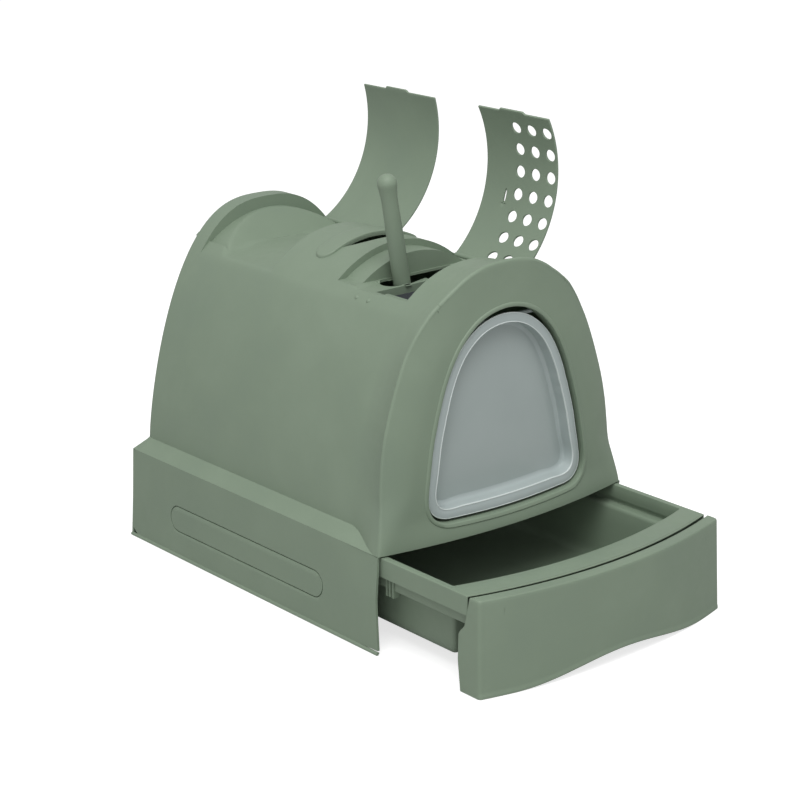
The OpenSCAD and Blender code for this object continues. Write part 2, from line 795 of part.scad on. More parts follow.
// Drawer front with side returns, a wavy foot and clip blocks that meet the tray rim.
module drawer_front() {
    y = front_y0 + front_t;
    color(sage) union() {
        difference() {
            intersection() {
                front_cone(0, 0, front_top_z);
                along_y(front_y0 - big, tray_y1) polygon(concat([[front_half_w, front_top_z],
                    [-front_half_w, front_top_z], [-front_foot_half_w, 0]],
                    [for (i = [-wave_steps : wave_steps]) let (u = i / wave_steps)
                        [wave_half_l * u, wave_h * (1 + cos(half_turn * u)) / two]],
                    [[front_foot_half_w, 0]]));
                along_x(-big, big) polygon([[front_y0 - big, -cut],
                    [front_y0 + return_mid - front_lean, -cut],
                    [front_y0 + return_mid, face_bottom_z * return_shares[0]],
                    [front_y0 + return_mid, face_bottom_z * return_shares[1]],
                    [front_y0 + return_mid - return_step, face_bottom_z * return_shares[2]],
                    [front_y0 + return_top, face_bottom_z], [front_y0 - big, face_bottom_z]]);
            }
            intersection() {
                front_cone(front_t, -cut, front_top_z + cut);
                along_y(front_y0 - big, tray_y1) polygon([
                    [front_half_w - front_t, front_top_z + cut], [-front_half_w + front_t, front_top_z + cut],
                    [-front_foot_half_w + front_t, -cut], [front_foot_half_w - front_t, -cut]]);
            }
        }
        difference() {
            intersection() {
                front_cone(front_t / two, clip_z, clip_z + clip_h);
                union() for (x = clip_x) block([x - clip_w / two, front_y0 - drawer_bow, clip_z],
                                               [x + clip_w / two, tray_y0 + rim_w, clip_z + clip_h]);
            }
            bow_body(rim_half_w, drawer_bow, tray_y0, -seat_gap, clip_z - cut, clip_z + clip_h + cut);
        }
    }
}

// Moves a closed lid to the place where it stands open.
module opened(angle) {
    translate([hinge_x, 0, hinge_z]) rotate([0, angle, 0]) translate([-hinge_x, 0, -hinge_z]) children();
}

// Arched lid between two places along the hood, with barrel, pins and finger tab.
module closed_lid(y0, y1, tab_y) {
    difference() {
        union() {
            intersection() {
                rod_y(top_r, 0, top_axis_z, y0, y1);
                block([-lid_half_w, y0 - cut, relief_z], [hinge_x, y1 + cut, top_z]);
            }
            intersection() {
                rod_y(top_r, 0, top_axis_z, tab_y - tab_l / two, tab_y + tab_l / two);
                block([-lid_half_w - tab_out, y0, relief_z], [0, y1, top_z]);
            }
        }
        rod_y(top_r - lid_t, 0, top_axis_z, y0 - cut, y1 + cut);
    }
    rod_y(barrel_r, hinge_x, hinge_z, y0, y1);
    rod_y(hinge_pin_r, hinge_x, hinge_z, y0 - lid_end_gap - pin_l, y1 + lid_end_gap + pin_l);
}

module rear_lid() {
    color(sage) opened(rear_lid_angle)
        closed_lid(band_rear_y + lid_end_gap, top_rear_y - lid_end_gap, rear_tab_y);
}

vent_rows = 7;
vent_first = -30.9;
catch_l = 20;
catch_w = 4;
catch_y = -85;
catch_angle = 4.6;
catch_cut = 12;
vent_side = 1;

// Lid over the scoop and the filter, with rows of vent holes and a catch slot.
module front_lid() {
    step = vent_step_l / top_r * half_turn / PI;
    color(sage) opened(front_lid_angle) difference() {
        closed_lid(recess_front_y + lid_end_gap, band_front_y - lid_end_gap, front_tab_y);
        for (i = [0 : vent_rows - 1], j = [-vent_side : vent_side])
            translate([0, vent_mid_y + vent_step_y * j, top_axis_z]) rotate([0, vent_first + step * i, 0])
                translate([0, 0, top_r - lid_t - cut])
                cylinder(d = vent_d, h = lid_t + cut * two);
        translate([0, catch_y, top_axis_z]) rotate([0, catch_angle, 0]) translate([0, 0, top_r])
            cube([catch_l, catch_w, catch_cut], center = true);
    }
}

// Outline of the door, moved in by d from the opening and lower at its top.
module door_outline(d) {
    intersection() {
        polygon(inset(door_points(), d));
        translate([0, -door_drop]) polygon(inset(door_points(), d));
    }
}

// Prism of the door outline, from far in front of the face to far behind it.
module door_prism(d) {
    along_y(front_y - face_bow - big, face_rear_y + deep_cut * two) door_outline(d);
}

// Clear door: flat rim, dished middle and two ears with pins.
module swing_door() {
    inner = door_gap + dish_rim;
    color(smoke) union() {
        difference() {
            intersection() {
                face_shell(door_back, door_back + door_t);
                door_prism(door_gap);
            }
            door_prism(inner + door_t / two);
        }
        intersection() {
            face_shell(door_back, door_back + dish_depth);
            difference() {
                door_prism(inner);
                door_prism(inner + door_t);
            }
        }
        intersection() {
            face_shell(door_back + dish_depth - door_t, door_back + dish_depth);
            door_prism(inner + door_t / two);
        }
        for (s = [0, 1]) mirror([s, 0, 0]) {
            rod_x(door_pin_r, door_hinge_y, door_hinge_z, ear_x, boss_out - wall - seat_gap);
            rod_x(door_pin_r + wall / two, door_hinge_y, door_hinge_z, ear_x - wall, ear_x + wall / two);
            block([ear_x - wall, door_hinge_y - door_hinge_back + door_back + door_t / two,
                   door_hinge_z - door_pin_r - wall],
                  [ear_x + wall / two, door_hinge_y, door_hinge_z + wall / two]);
        }
    }
}

// Sieve scoop: round handle, shoulders and a walled blade, drawn along its own upright axis.
neck_z = -13;
shoulder_r = 16;
slot_share = 0.42;
blade_slot_share = 0.72;
module scoop() {
    low = scoop_up - scoop_len;
    pitch = blade_w / (blade_slots + 1);
    slot = pitch * slot_share;
    slot_l = blade_len * blade_slot_share;
    color(sage) translate([scoop_x, scoop_y, front_floor_z]) rotate([0, -scoop_lean, 0]) {
        translate([0, 0, neck_z - wall]) cylinder(r = grip_r, h = scoop_up - knob_r - neck_z + wall);
        translate([0, 0, scoop_up - knob_r]) sphere(r = knob_r, $fn = facet_fn * two);
        difference() {
            along_y(-blade_depth / two, blade_depth / two) blade_outline(0, low, neck_z);
            along_y(-blade_depth / two - cut, blade_depth / two - blade_t)
                blade_outline(blade_t, low - cut * two, neck_z);
            for (i = [1 : blade_slots])
                translate([pitch * i - (blade_w + slot) / two, 0, low + (blade_len - slot_l) / two])
                    cube([slot, blade_depth, slot_l]);
        }
    }
}

// Blade outline with rounded shoulders, moved in by d.
module blade_outline(d, z0, z1) {
    half = blade_w / two - d;
    r = shoulder_r - d;
    translate([-half, z0]) square([half * two, z1 - d - r - z0]);
    translate([-half + r, z0]) square([(half - r) * two, z1 - d - z0]);
    for (s = [-1, 1]) translate([s * (half - r), z1 - d - r]) circle(r = r);
}

// Odour filter pad on the floor of its well.
module charcoal_filter() {
    color(slate) block([-well_half_w + wall / two, well_front_y + wall / two, well_floor_z + seat_gap],
                       [well_half_w - wall / two, well_rear_y - wall / two, well_floor_z + seat_gap + pad_t]);
}

hood_shell();
carry_handle();
base_frame();
litter_tray();
drawer_front();
rear_lid();
front_lid();
swing_door();
scoop();
charcoal_filter();
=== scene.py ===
"""Drawer litter box: an arched hood over a pulled-out tray, with both top lids open.

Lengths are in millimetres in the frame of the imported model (X right, Y back, Z up) and turn to
metres where a mesh is made. Every new surface is a grid of points worked out with numpy.
"""
import math

import bmesh
import bpy
import numpy as np
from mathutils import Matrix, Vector


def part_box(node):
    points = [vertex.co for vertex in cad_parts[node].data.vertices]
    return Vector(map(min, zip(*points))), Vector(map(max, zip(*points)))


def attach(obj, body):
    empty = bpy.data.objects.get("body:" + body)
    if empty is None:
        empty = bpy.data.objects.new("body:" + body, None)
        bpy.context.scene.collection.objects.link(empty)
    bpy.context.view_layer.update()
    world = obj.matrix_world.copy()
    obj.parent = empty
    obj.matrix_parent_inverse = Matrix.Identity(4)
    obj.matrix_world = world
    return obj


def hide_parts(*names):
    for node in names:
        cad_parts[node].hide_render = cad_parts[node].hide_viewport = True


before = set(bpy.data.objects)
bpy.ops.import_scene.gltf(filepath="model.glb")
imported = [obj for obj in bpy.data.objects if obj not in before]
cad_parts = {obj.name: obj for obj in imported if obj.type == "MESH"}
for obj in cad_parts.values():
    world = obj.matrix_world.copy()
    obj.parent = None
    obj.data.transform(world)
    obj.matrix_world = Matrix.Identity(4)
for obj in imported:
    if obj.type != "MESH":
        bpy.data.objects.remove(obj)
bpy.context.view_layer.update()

MM = 0.001
WELD = 0.01  # points nearer than this are one

# Hood
ARCH_HALF_W, ARCH_FOOT_Z, ARCH_TOP_Z = 177.9, 131.5, 425.0
ARCH_POWER_X, ARCH_POWER_Z = 2.643, 1.36
HALF_LEN, FACE_BOW, FACE_LEAN = 237.1, 15.0, 0.0559
SKIRT_TOP_HALF_W, SHOULDER_Z, SKIRT_FOOT_HALF_W = 197.3, 118.0, 201.5
FACE_BOTTOM_Z = 114.0
REAR_TOP, REAR_FLARE, FRONT_FLARE, KNEE_SHARE = 8.0, 12.0, 9.0, 0.3
REAR_R, REAR_PANEL_Z = 3.0, 150.0  # rounding of the rear edge, top of the flat rear panel
FOOT_BEAD_H, FOOT_BEAD = 4.0, 1.8
EDGE_BACK, EDGE_IN, EDGE_POWER = 7.8, 38.0, 1.6  # the face bends back this far over this width to its edge
EDGE_R = 3.0  # rounding of that edge
FOOT_SWELL = 7.0  # how much further the foot of the face stands out at its middle
SKIRT_IN = 3.8  # how much narrower the top of the skirt is at its front corner
FRONT_Y = -222.0  # where the top ends, at its middle
FLARE_LEN = 52.0  # length over which the dome spreads towards the face
FLARE_Z = [131.5, 150, 170, 195, 220, 245, 272, 299, 325, 352, 375, 388, 402, 415, 425]
FLARE = [0, 5.3, 8, 10.8, 13.4, 14.7, 14.4, 14.2, 14, 11.8, 8.8, 5, 1.5, 0.2, 0]  # spread at the face
WALL = 3.0
TOP_R, TOP_AXIS_Z, TOP_REAR_Y = 145.0, 268.5, 211.0
BAND_FRONT_Y, BAND_REAR_Y = -46.0, 69.0
REAR_FLOOR_Z, REAR_FLOOR_R, SLOPE_FOOT_Y, SLOPE = 378.0, 680.0, 175.0, 0.986
RECESS_FRONT_Y, RECESS_HALF_W, FRONT_FLOOR_Z = -170.0, 93.0, 380.0
LEDGE_R, LEDGE_Y = 137.0, -76.0
SLOT_Y, SLOT_R, SLOT_HALF_L = -92.0, 14.0, 63.0
WELL_FRONT_Y, WELL_REAR_Y, WELL_HALF_W, WELL_Z = -169.0, -110.0, 88.0, 360.0
SLAT_PITCH, SLAT_HALF = 17.6, 3.96  # air slots of the well floor
FINGER_Y, FINGER_W, FINGER_HALF_L = -2.8, 22.0, 50.0
STRAP_Y, STRAP_R, STRAP_HALF_L = 12.0, 14.5, 75.0
SEAT_R = 141.7
HINGE_X, HINGE_Z, HINGE_ROOM_R = 92.0, 380.575, 4.4
NOTCH_Z, NOTCH_Y0, NOTCH_Y1 = 377.6, -129.0, -83.0
CREASE_X = 104.6  # where the lowered top meets the arch
LATCH_TURN, LATCH_R, LATCH_Y = -45.2, 3.6, (-93, -114)  # bumps beside the free edge of the front lid
LINE_Y0, LINE_Y1, LINE_Z, LINE_R, LINE_W, LINE_DEPTH = -145.0, 162.0, 51.0, 17.0, 1.4, 1.9  # engraved line

# Door
DOOR_LOW_Z, DOOR_TOP_Z, DOOR_SAG, DOOR_HALF_W = 134.8, 370.0, 2.5, 124.0
DOOR_SHARES = np.array([
    (0, 0.79), (0.012, 0.87), (0.035, 0.94), (0.07, 0.982), (0.12, 1), (0.18, 0.988), (0.25, 0.967), (0.318, 0.945),
    (0.403, 0.915), (0.488, 0.872), (0.572, 0.824), (0.657, 0.771), (0.72, 0.719), (0.784, 0.655), (0.84, 0.585),
    (0.885, 0.51), (0.925, 0.425), (0.958, 0.33), (0.982, 0.22), (0.996, 0.1)])
DOOR_CENTRE_Z = 240.0
DOOR_GAP, DOOR_DROP, DOOR_BACK, DOOR_T, DISH_RIM, DISH_DEPTH = 3.6, 4.0, 5.0, 2.5, 12.0, 18.0
COLLAR_DEPTH, BEAD_W, BEAD_H = 13.0, 5.0, 1.2
PIN_Y, PIN_Z, PIN_R, PIN_X0, PIN_X1 = -223.654, 354.5, 2.5, 24.0, 58.7

# Lids
LID_EDGE = TOP_R * math.asin(HINGE_X / TOP_R)  # arc from the middle of a lid to its edge
LID_T, TAB_OUT, TAB_HALF = 2.4, 3.2, 20.5
VENT_S, VENT_Y, VENT_PITCH, VENT_ROWS = 7.4, 7.8, 28.0, 7  # half sizes of a vent across and along the hood
REAR_LID_Y, FRONT_LID_Y = (70.5, 209.5), (-168.5, -47.5)
REAR_LID_OPEN, FRONT_LID_OPEN = 112.3, 101.4

# Drawer
TRAY_FRONT, TRAY_REAR, TRAY_BOW, RIM_UNDERCUT = -380.2, 67.1, 28.0, 10.0
RIM_HALF, TRAY_T = 189.0, 2.5
TUB_HALF, TUB_FRONT, TUB_REAR, TUB_FLOOR_Z, TUB_MIDDLE_Y = 180.5, -349.2, 58.6, 19.5, -147
RIB_Y, RIB_PITCH = -254, 5.5  # grip ribs beside the rim
PANEL_HALF, PANEL_FRONT, PANEL_TOP_Z, PANEL_LEAN, PANEL_END_LEAN = 190.0, -400.2, 113.2, 5.0, 2.8
WAVE_HALF, WAVE_RISE, WAVE_LOW = 150, 7.3, 0.8  # wavy foot of the drawer front

# Scoop
SCOOP_X, SCOOP_LEAN, SCOOP_UP, SCOOP_LEN = -39.0, 7.2, 129.0, 240.0
HANDLE_X, HANDLE_LEAN, HANDLE_UP, BLADE_T = -34.0, 10.5, 131.0, 2.4

# Finishes and stage
PLASTIC_IOR = 1.49
PHOTO_SIZE = 800  # pixels
SKY_LIGHT = 0.55  # strength of the white world for all but the camera
FLOOR_WHITE = 0.72  # plain white light that the camera sees on top of the lit floor


def quads(rows, columns, wrap=False):
    """Corner numbers of every cell of a grid stored row by row; wrap joins the last column to the first."""
    r, c = np.meshgrid(np.arange(rows - 1), np.arange(columns if wrap else columns - 1), indexing="ij")
    n, near, far = (c + 1) % columns, r * columns, (r + 1) * columns
    return np.stack([near + c, near + n, far + n, far + c], -1).reshape(-1, 4)


class Surface:
    """Points and four-cornered cells of one piece, gathered from grids."""

    def __init__(self):
        """Starts empty."""
        self.points, self.cells, self.count = [], [], 0

    def grid(self, p, wrap=False, keep=None):
        """Adds a grid of points (rows, columns, 3). keep is a mask of the cells that stay."""
        rows, columns = p.shape[:2]
        cells = quads(rows, columns, wrap)
        if keep is not None:
            cells = cells[keep.reshape(-1)]
        self.points.append(p.reshape(-1, 3))
        self.cells.append(cells + self.count)
        self.count += rows * columns
        return self

    def rings(self, rings):
        """Adds a band of closed rings."""
        return self.grid(np.stack(rings), wrap=True)

    def welded(self):
        """Joins points that lie together. Returns points, three-cornered and four-cornered faces."""
        p, f = np.concatenate(self.points), np.concatenate(self.cells)
        cell = np.round(p / WELD).astype(np.int64)
        _, index, back = np.unique(cell, axis=0, return_index=True, return_inverse=True)
        p, f = p[index], back.reshape(-1)[f]
        same = f == np.roll(f, -1, axis=1)
        whole = f[same.sum(1) == 0]
        whole = whole[(whole[:, 0] != whole[:, 2]) & (whole[:, 1] != whole[:, 3])]
        short = same.sum(1) == 1
        tri = f[short][~same[short]].reshape(-1, 3)
        return p, whole, tri


def in_scene(name, data):
    """Object in the scene that shows the data."""
    obj = bpy.data.objects.new(name, data)
    bpy.context.scene.collection.objects.link(obj)
    return obj


def mesh_object(name, surface):
    """Object at the origin with the surface's points in metres."""
    p, whole, tri = surface.welded()
    corners = np.concatenate([whole.reshape(-1), tri.reshape(-1)]).astype(np.int32)
    sizes = np.concatenate([np.full(len(whole), 4), np.full(len(tri), 3)])
    mesh = bpy.data.meshes.new(name)
    mesh.vertices.add(len(p))
    mesh.vertices.foreach_set("co", (p * MM).astype(np.float32).reshape(-1))
    mesh.loops.add(len(corners))
    mesh.loops.foreach_set("vertex_index", corners)
    mesh.polygons.add(len(sizes))
    mesh.polygons.foreach_set("loop_start", np.concatenate([[0], np.cumsum(sizes)[:-1]]).astype(np.int32))
    mesh.update(calc_edges=True)
    mesh.validate()
    return in_scene(name, mesh)


def faces_outward(mesh, probe):
    """Turns each loose part the same way round, then all so that the face nearest to the probe looks at it."""
    bm = bmesh.new()
    bm.from_mesh(mesh)
    bmesh.ops.recalc_face_normals(bm, faces=bm.faces)
    near = min(bm.faces, key=lambda f: (f.calc_center_median() - probe).length_squared)
    if near.normal.dot(probe - near.calc_center_median()) < 0:
        bmesh.ops.reverse_faces(bm, faces=bm.faces)
    bm.to_mesh(mesh)
    bm.free()


def thicken(obj, thickness, bevel):
    """Gives a skin its wall on the inner side, rounds the sharp edges and keeps the result as the mesh."""
    solid = obj.modifiers.new("wall", "SOLIDIFY")
    solid.thickness = thickness * MM
    solid.offset = -1
    if bevel:
        edge = obj.modifiers.new("edge", "BEVEL")
        edge.width = bevel * MM
        edge.segments = 2
        edge.limit_method = "ANGLE"
        edge.angle_limit = math.radians(60)
        edge.use_clamp_overlap = True
    graph = bpy.context.evaluated_depsgraph_get()
    made = bpy.data.meshes.new_from_object(obj.evaluated_get(graph))
    obj.modifiers.clear()
    obj.data = made


def add_piece(name, surface, body, node, material, probe=None, wall=0.0, bevel=0.0, sharp=38.0):
    """Makes a piece that rides on its body in place of its node, smooth but for edges over the sharp angle.
    A skin comes with a probe: it is turned to face it and gets its wall."""
    obj = mesh_object(name, surface)
    if probe is not None:
        faces_outward(obj.data, Vector(probe))
        thicken(obj, wall, bevel)
    obj.data.polygons.foreach_set("use_smooth", np.ones(len(obj.data.polygons), bool))
    obj.data.set_sharp_from_angle(angle=math.radians(sharp))
    obj.data.materials.clear()
    obj.data.materials.append(material)
    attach(obj, body)
    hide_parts(node)


def points(x, y, z):
    """Stacks three arrays, stretched to one shape, into points."""
    return np.stack(np.broadcast_arrays(np.asarray(x, float), np.asarray(y, float), np.asarray(z, float)), -1)


def smooth(t):
    """0 below 0, 1 above 1 and a cubic ease between."""
    t = np.clip(t, 0, 1)
    return t * t * (3 - 2 * t)


def bow_y(x, half_w, corner_y, bow):
    """Plan line that is a circle through both corners and stands bow further forward at the middle."""
    r = (half_w ** 2 + bow ** 2) / (2 * bow)
    return corner_y - bow + r - np.sqrt(r ** 2 - np.minimum(np.abs(x), half_w * 1.2) ** 2)


def face_y(x, z):
    """Front face of the hood: bowed in plan, leaning back as it rises, and fuller along its foot."""
    swell = FOOT_SWELL * np.maximum(1 - (x / SKIRT_TOP_HALF_W) ** 2, 0) * smooth((150 - z) / 36)
    return bow_y(x, SKIRT_TOP_HALF_W, -HALF_LEN, FACE_BOW) + np.maximum(z - FACE_BOTTOM_Z, 0) * FACE_LEAN - swell


def on_face(q, back):
    """Points of the front face over places (x, z), moved back."""
    return points(q[:, 0], face_y(q[:, 0], q[:, 1]) + back, q[:, 1])


def tube(surface, r, start, end, n=24):
    """Round bar between two points: circles of radius r across its axis, closed by discs."""
    a, b = np.asarray(start, float), np.asarray(end, float)
    d = (b - a) / np.linalg.norm(b - a)
    u = np.cross(d, [0, 0, 1.0] if abs(d[2]) < 0.9 else [1.0, 0, 0])
    u /= np.linalg.norm(u)
    v = np.cross(d, u)
    turn = np.linspace(0, 2 * np.pi, n, endpoint=False)
    ring = np.cos(turn)[:, None] * u + np.sin(turn)[:, None] * v
    surface.rings([p + q * ring for p, q in ((a, 0), (a, r), (b, r), (b, 0))])


def box(surface, low, high):
    """Block between two corners as a wrapped band of four sides with two ends."""
    (x0, y0, z0), (x1, y1, z1) = low, high
    x = np.array([x0, x1, x1, x0])
    y = np.array([y0, y0, y1, y1])
    mid_x, mid_y = (x0 + x1) / 2, (y0 + y1) / 2
    steps = ((0, z0), (1, z0), (1, z1), (0, z1))
    rings = [points(mid_x + (x - mid_x) * k, mid_y + (y - mid_y) * k, z) for k, z in steps]
    surface.rings(rings)


def across(t):
    """Unit vectors that stand a quarter turn to the left of the plan vectors t."""
    return np.stack([-t[:, 1], t[:, 0]], -1) / np.linalg.norm(t, axis=1, keepdims=True)


def inward(loop, d):
    """Closed plan loop (n, 2) moved d along its inner normals, which come from the neighbours of each point."""
    n = across(np.roll(loop, -1, 0) - np.roll(loop, 1, 0))
    area = np.sum(loop[:, 0] * np.roll(loop[:, 1], -1) - np.roll(loop[:, 0], -1) * loop[:, 1])
    return loop + n * d * np.sign(area)


def stadium(start, end, n, ends):
    """Centre line of a round-ended band, there and back, with the angle that its edge faces at each point."""
    turn = np.linspace(-np.pi / 2, np.pi / 2, ends)
    centre = [np.linspace(start, end, n), np.full(ends, end), np.linspace(end, start, n), np.full(ends, start)]
    angle = [np.full(n, -np.pi / 2), turn, np.full(n, np.pi / 2), turn + np.pi]
    return np.concatenate(centre), np.concatenate(angle)


def about_hinge(p, angle):
    """Closed lid points turned open about the hinge line, by angle in degrees."""
    a = math.radians(angle)
    x, z, c, s = p[..., 0] - HINGE_X, p[..., 2] - HINGE_Z, math.cos(a), math.sin(a)
    return points(HINGE_X + x * c + z * s, p[..., 1], HINGE_Z - x * s + z * c)


def arch_z(x):
    """Height of the arch over a place across: a superellipse."""
    share = np.clip(np.abs(x) / ARCH_HALF_W, 0, 1)
    return ARCH_FOOT_Z + (ARCH_TOP_Z - ARCH_FOOT_Z) * (1 - share ** ARCH_POWER_X) ** (1 / ARCH_POWER_Z)


def circle_z(x, r):
    """Height of a circle of radius r about the axis of the top."""
    return TOP_AXIS_Z + np.sqrt(np.maximum(np.asarray(r, float) ** 2 - x ** 2, 0))


def hood_columns():
    """Places across the top from right to left, doubled where the recess and the well have their walls.
    Returns x, a flag for inside the recess and a flag for inside the well."""
    slots = (np.arange(1, 10) * SLAT_PITCH - WELL_HALF_W)[:, None] + np.array([-SLAT_HALF, SLAT_HALF])
    ends = [-SLOT_HALF_L, SLOT_HALF_L, -FINGER_HALF_L, FINGER_HALF_L]
    inner = np.concatenate([slots.reshape(-1), np.linspace(-87, 87, 45), ends,
                            np.repeat([-1, 1], 4) * (SLOT_HALF_L - np.array([0.3, 1.2, 2.8, 5] * 2))])
    inner = np.unique(np.round(inner, 2))
    inner = inner[np.concatenate([[True], np.diff(inner) > 0.25])]
    ledge = np.array([88.0, 89.2, 90.6, 92, RECESS_HALF_W])
    outer = np.array([RECESS_HALF_W, 94.2, 95.4, 96.4, 99, 102, CREASE_X])
    right = np.array([(v, 0, 0) for v in outer[::-1]] + [(v, 1, 0) for v in ledge[::-1]] + [(WELL_HALF_W, 1, 1)])
    left = right[::-1] * np.array([-1, 1, 1])
    middle = np.stack([inner[::-1], np.ones(len(inner)), np.ones(len(inner))], -1)
    table = np.concatenate([right, middle, left])
    return table[:, 0], table[:, 1] > 0, table[:, 2] > 0


def arch_normal(x, z):
    """Outward unit normal of the arch, from the gradient of its superellipse."""
    rise = ARCH_TOP_Z - ARCH_FOOT_Z
    side = ARCH_POWER_X / ARCH_HALF_W * (x / ARCH_HALF_W) ** (ARCH_POWER_X - 1)
    up = ARCH_POWER_Z / rise * (np.maximum(z - ARCH_FOOT_Z, 0) / rise) ** (ARCH_POWER_Z - 1)
    return side / np.hypot(side, up), up / np.hypot(side, up)


def flared(x, front):
    """Points of the arch over places across, moved out along its normals by the spread near the face.
    front runs from 0 behind the spread to 1 at the face."""
    z = arch_z(x)
    side, up = arch_normal(x, z)
    out = front * np.interp(z, FLARE_Z, FLARE)
    return x + side * out, z + up * out


ARCH_X = np.concatenate([np.linspace(0, 172, 173),
                         ARCH_HALF_W - np.array([4.6, 3.3, 2.1, 1.2, 0.6, 0.25, 0.08, 0.0])])
CREASE_SPREAD = flared(np.array([CREASE_X]), 1.0)[0][0] / CREASE_X


def side_profile(front, spread):
    """Right side from the skirt foot up to the crease. Towards the face the arch flares, and with spread
    its foot runs out and sinks until the shoulder narrows to a point."""
    x_arch = np.concatenate([np.linspace(CREASE_X, 172, 26)[1:], ARCH_X[173:]])
    u = np.clip((170 - arch_z(x_arch)) / (170 - ARCH_FOOT_Z), 0, 1)
    x, z = flared(x_arch, front)
    z = z - spread * 16.5 * u ** 2.4
    low_z, low_x = SHOULDER_Z - 3.0 * spread, SKIRT_TOP_HALF_W - SKIRT_IN * spread
    knee = np.interp(-170.0, -z, x)
    line = knee + (low_x - knee) * (170 - z) / (170 - low_z)
    x = x + spread * smooth(u * 4) * (line - x)
    return x[::-1], z[::-1], low_x, low_z


def flare_share(y):
    """How far the dome has spread at a place along the hood."""
    return float(np.clip((RECESS_FRONT_Y - y) / FLARE_LEN, 0, 1)) ** 1.6


def front_run(y):
    """How far a place lies between the front of the recess (0) and the front end of the top (1)."""
    return (RECESS_FRONT_Y - y) / (RECESS_FRONT_Y - FRONT_Y)


def edge_back(z):
    """How far the edge of the face lies behind the bowed face, over the height."""
    return EDGE_BACK * smooth((z - FACE_BOTTOM_Z - 1) / 70) * (1 - smooth((z - 330) / 90))


def base_top(x, y):
    """Top of the hood before any recess: the radius of the lids, or the arch behind the rear compartment.
    Towards the face it passes over into the flared arch."""
    front = flare_share(np.max(y))
    face = np.interp(np.abs(x) * CREASE_SPREAD, *flared(ARCH_X, 1.0))
    return np.where(y > TOP_REAR_Y, arch_z(x), (1 - front) * circle_z(x, TOP_R) + front * face)


def hinge_groove(x, z):
    """Round groove beside the right edge that the lid barrels lie in."""
    room = HINGE_Z - np.sqrt(np.maximum(HINGE_ROOM_R ** 2 - (x - HINGE_X) ** 2, 0))
    return np.where(np.abs(x - HINGE_X) < HINGE_ROOM_R, np.minimum(z, room), z)


def zone_height(zone, x, y, inside, well):
    """Height of the top in one zone along the hood."""
    top = base_top(x, y)
    if zone == "rear":
        floor = REAR_FLOOR_Z - REAR_FLOOR_R + np.sqrt(REAR_FLOOR_R ** 2 - x ** 2)
        wall = REAR_FLOOR_Z + (y - SLOPE_FOOT_Y) * SLOPE
        edge = np.where(inside, np.minimum(top, circle_z(x, SEAT_R)), top)
        return hinge_groove(x, np.minimum(edge, np.maximum(floor, wall)))
    low = {"floor": FRONT_FLOOR_Z, "well": np.where(well, WELL_Z, FRONT_FLOOR_Z),
           "ledge": np.maximum(circle_z(x, LEDGE_R), FRONT_FLOOR_Z)}
    if zone not in low:
        return top
    z = np.where(inside, low[zone], top)
    notch = (x < 0) & (y > NOTCH_Y0) & (y < NOTCH_Y1)
    return hinge_groove(x, np.where(notch, np.minimum(z, NOTCH_Z), z))


def slot_line(x, side):
    """Edge of the scoop slot across the hood; both edges meet beyond its round ends."""
    reach = np.abs(x) - (SLOT_HALF_L - SLOT_R)
    half = np.where(reach <= 0, SLOT_R, np.sqrt(np.maximum(SLOT_R ** 2 - reach ** 2, 0)))
    return SLOT_Y + side * half


def finger_line(x):
    """Front edge of the finger slot: an arc through both ends of its straight rear edge."""
    r = (FINGER_HALF_L ** 2 + FINGER_W ** 2) / (2 * FINGER_W)
    arc = FINGER_Y - FINGER_W + r - np.sqrt(np.maximum(r ** 2 - x ** 2, 0))
    return np.where(np.abs(x) < FINGER_HALF_L, np.minimum(arc, FINGER_Y), FINGER_Y)


def hood_stations(x):
    """Rows along the hood as (zone, y over x, hole after this row). Rows in front of the recess have one y,
    which hood_dome then bends to the line of the face."""
    rows = []

    def run(zone, y0, y1, n, hole_last=False):
        """Adds n rows of one zone between two lines."""
        for i, t in enumerate(np.linspace(0, 1, n)):
            rows.append((zone, (1 - t) * y0 + t * y1 + 0 * x, hole_last and i == n - 1))

    run("top", FRONT_Y, -205.0, 12)
    run("top", -202.0, RECESS_FRONT_Y, 10)
    run("floor", RECESS_FRONT_Y, WELL_FRONT_Y, 2)
    run("well", WELL_FRONT_Y, WELL_REAR_Y, 12)
    run("floor", WELL_REAR_Y, slot_line(x, -1), 5, True)
    run("floor", slot_line(x, 1), LEDGE_Y, 5)
    run("ledge", LEDGE_Y, BAND_FRONT_Y, 8)
    run("top", BAND_FRONT_Y, finger_line(x), 9, True)
    run("top", FINGER_Y, BAND_REAR_Y, 18)
    run("rear", BAND_REAR_Y, SLOPE_FOOT_Y, 20)
    run("rear", SLOPE_FOOT_Y, TOP_REAR_Y, 14)
    run("back", TOP_REAR_Y + WELD, HALF_LEN - REAR_R, 8)
    return rows


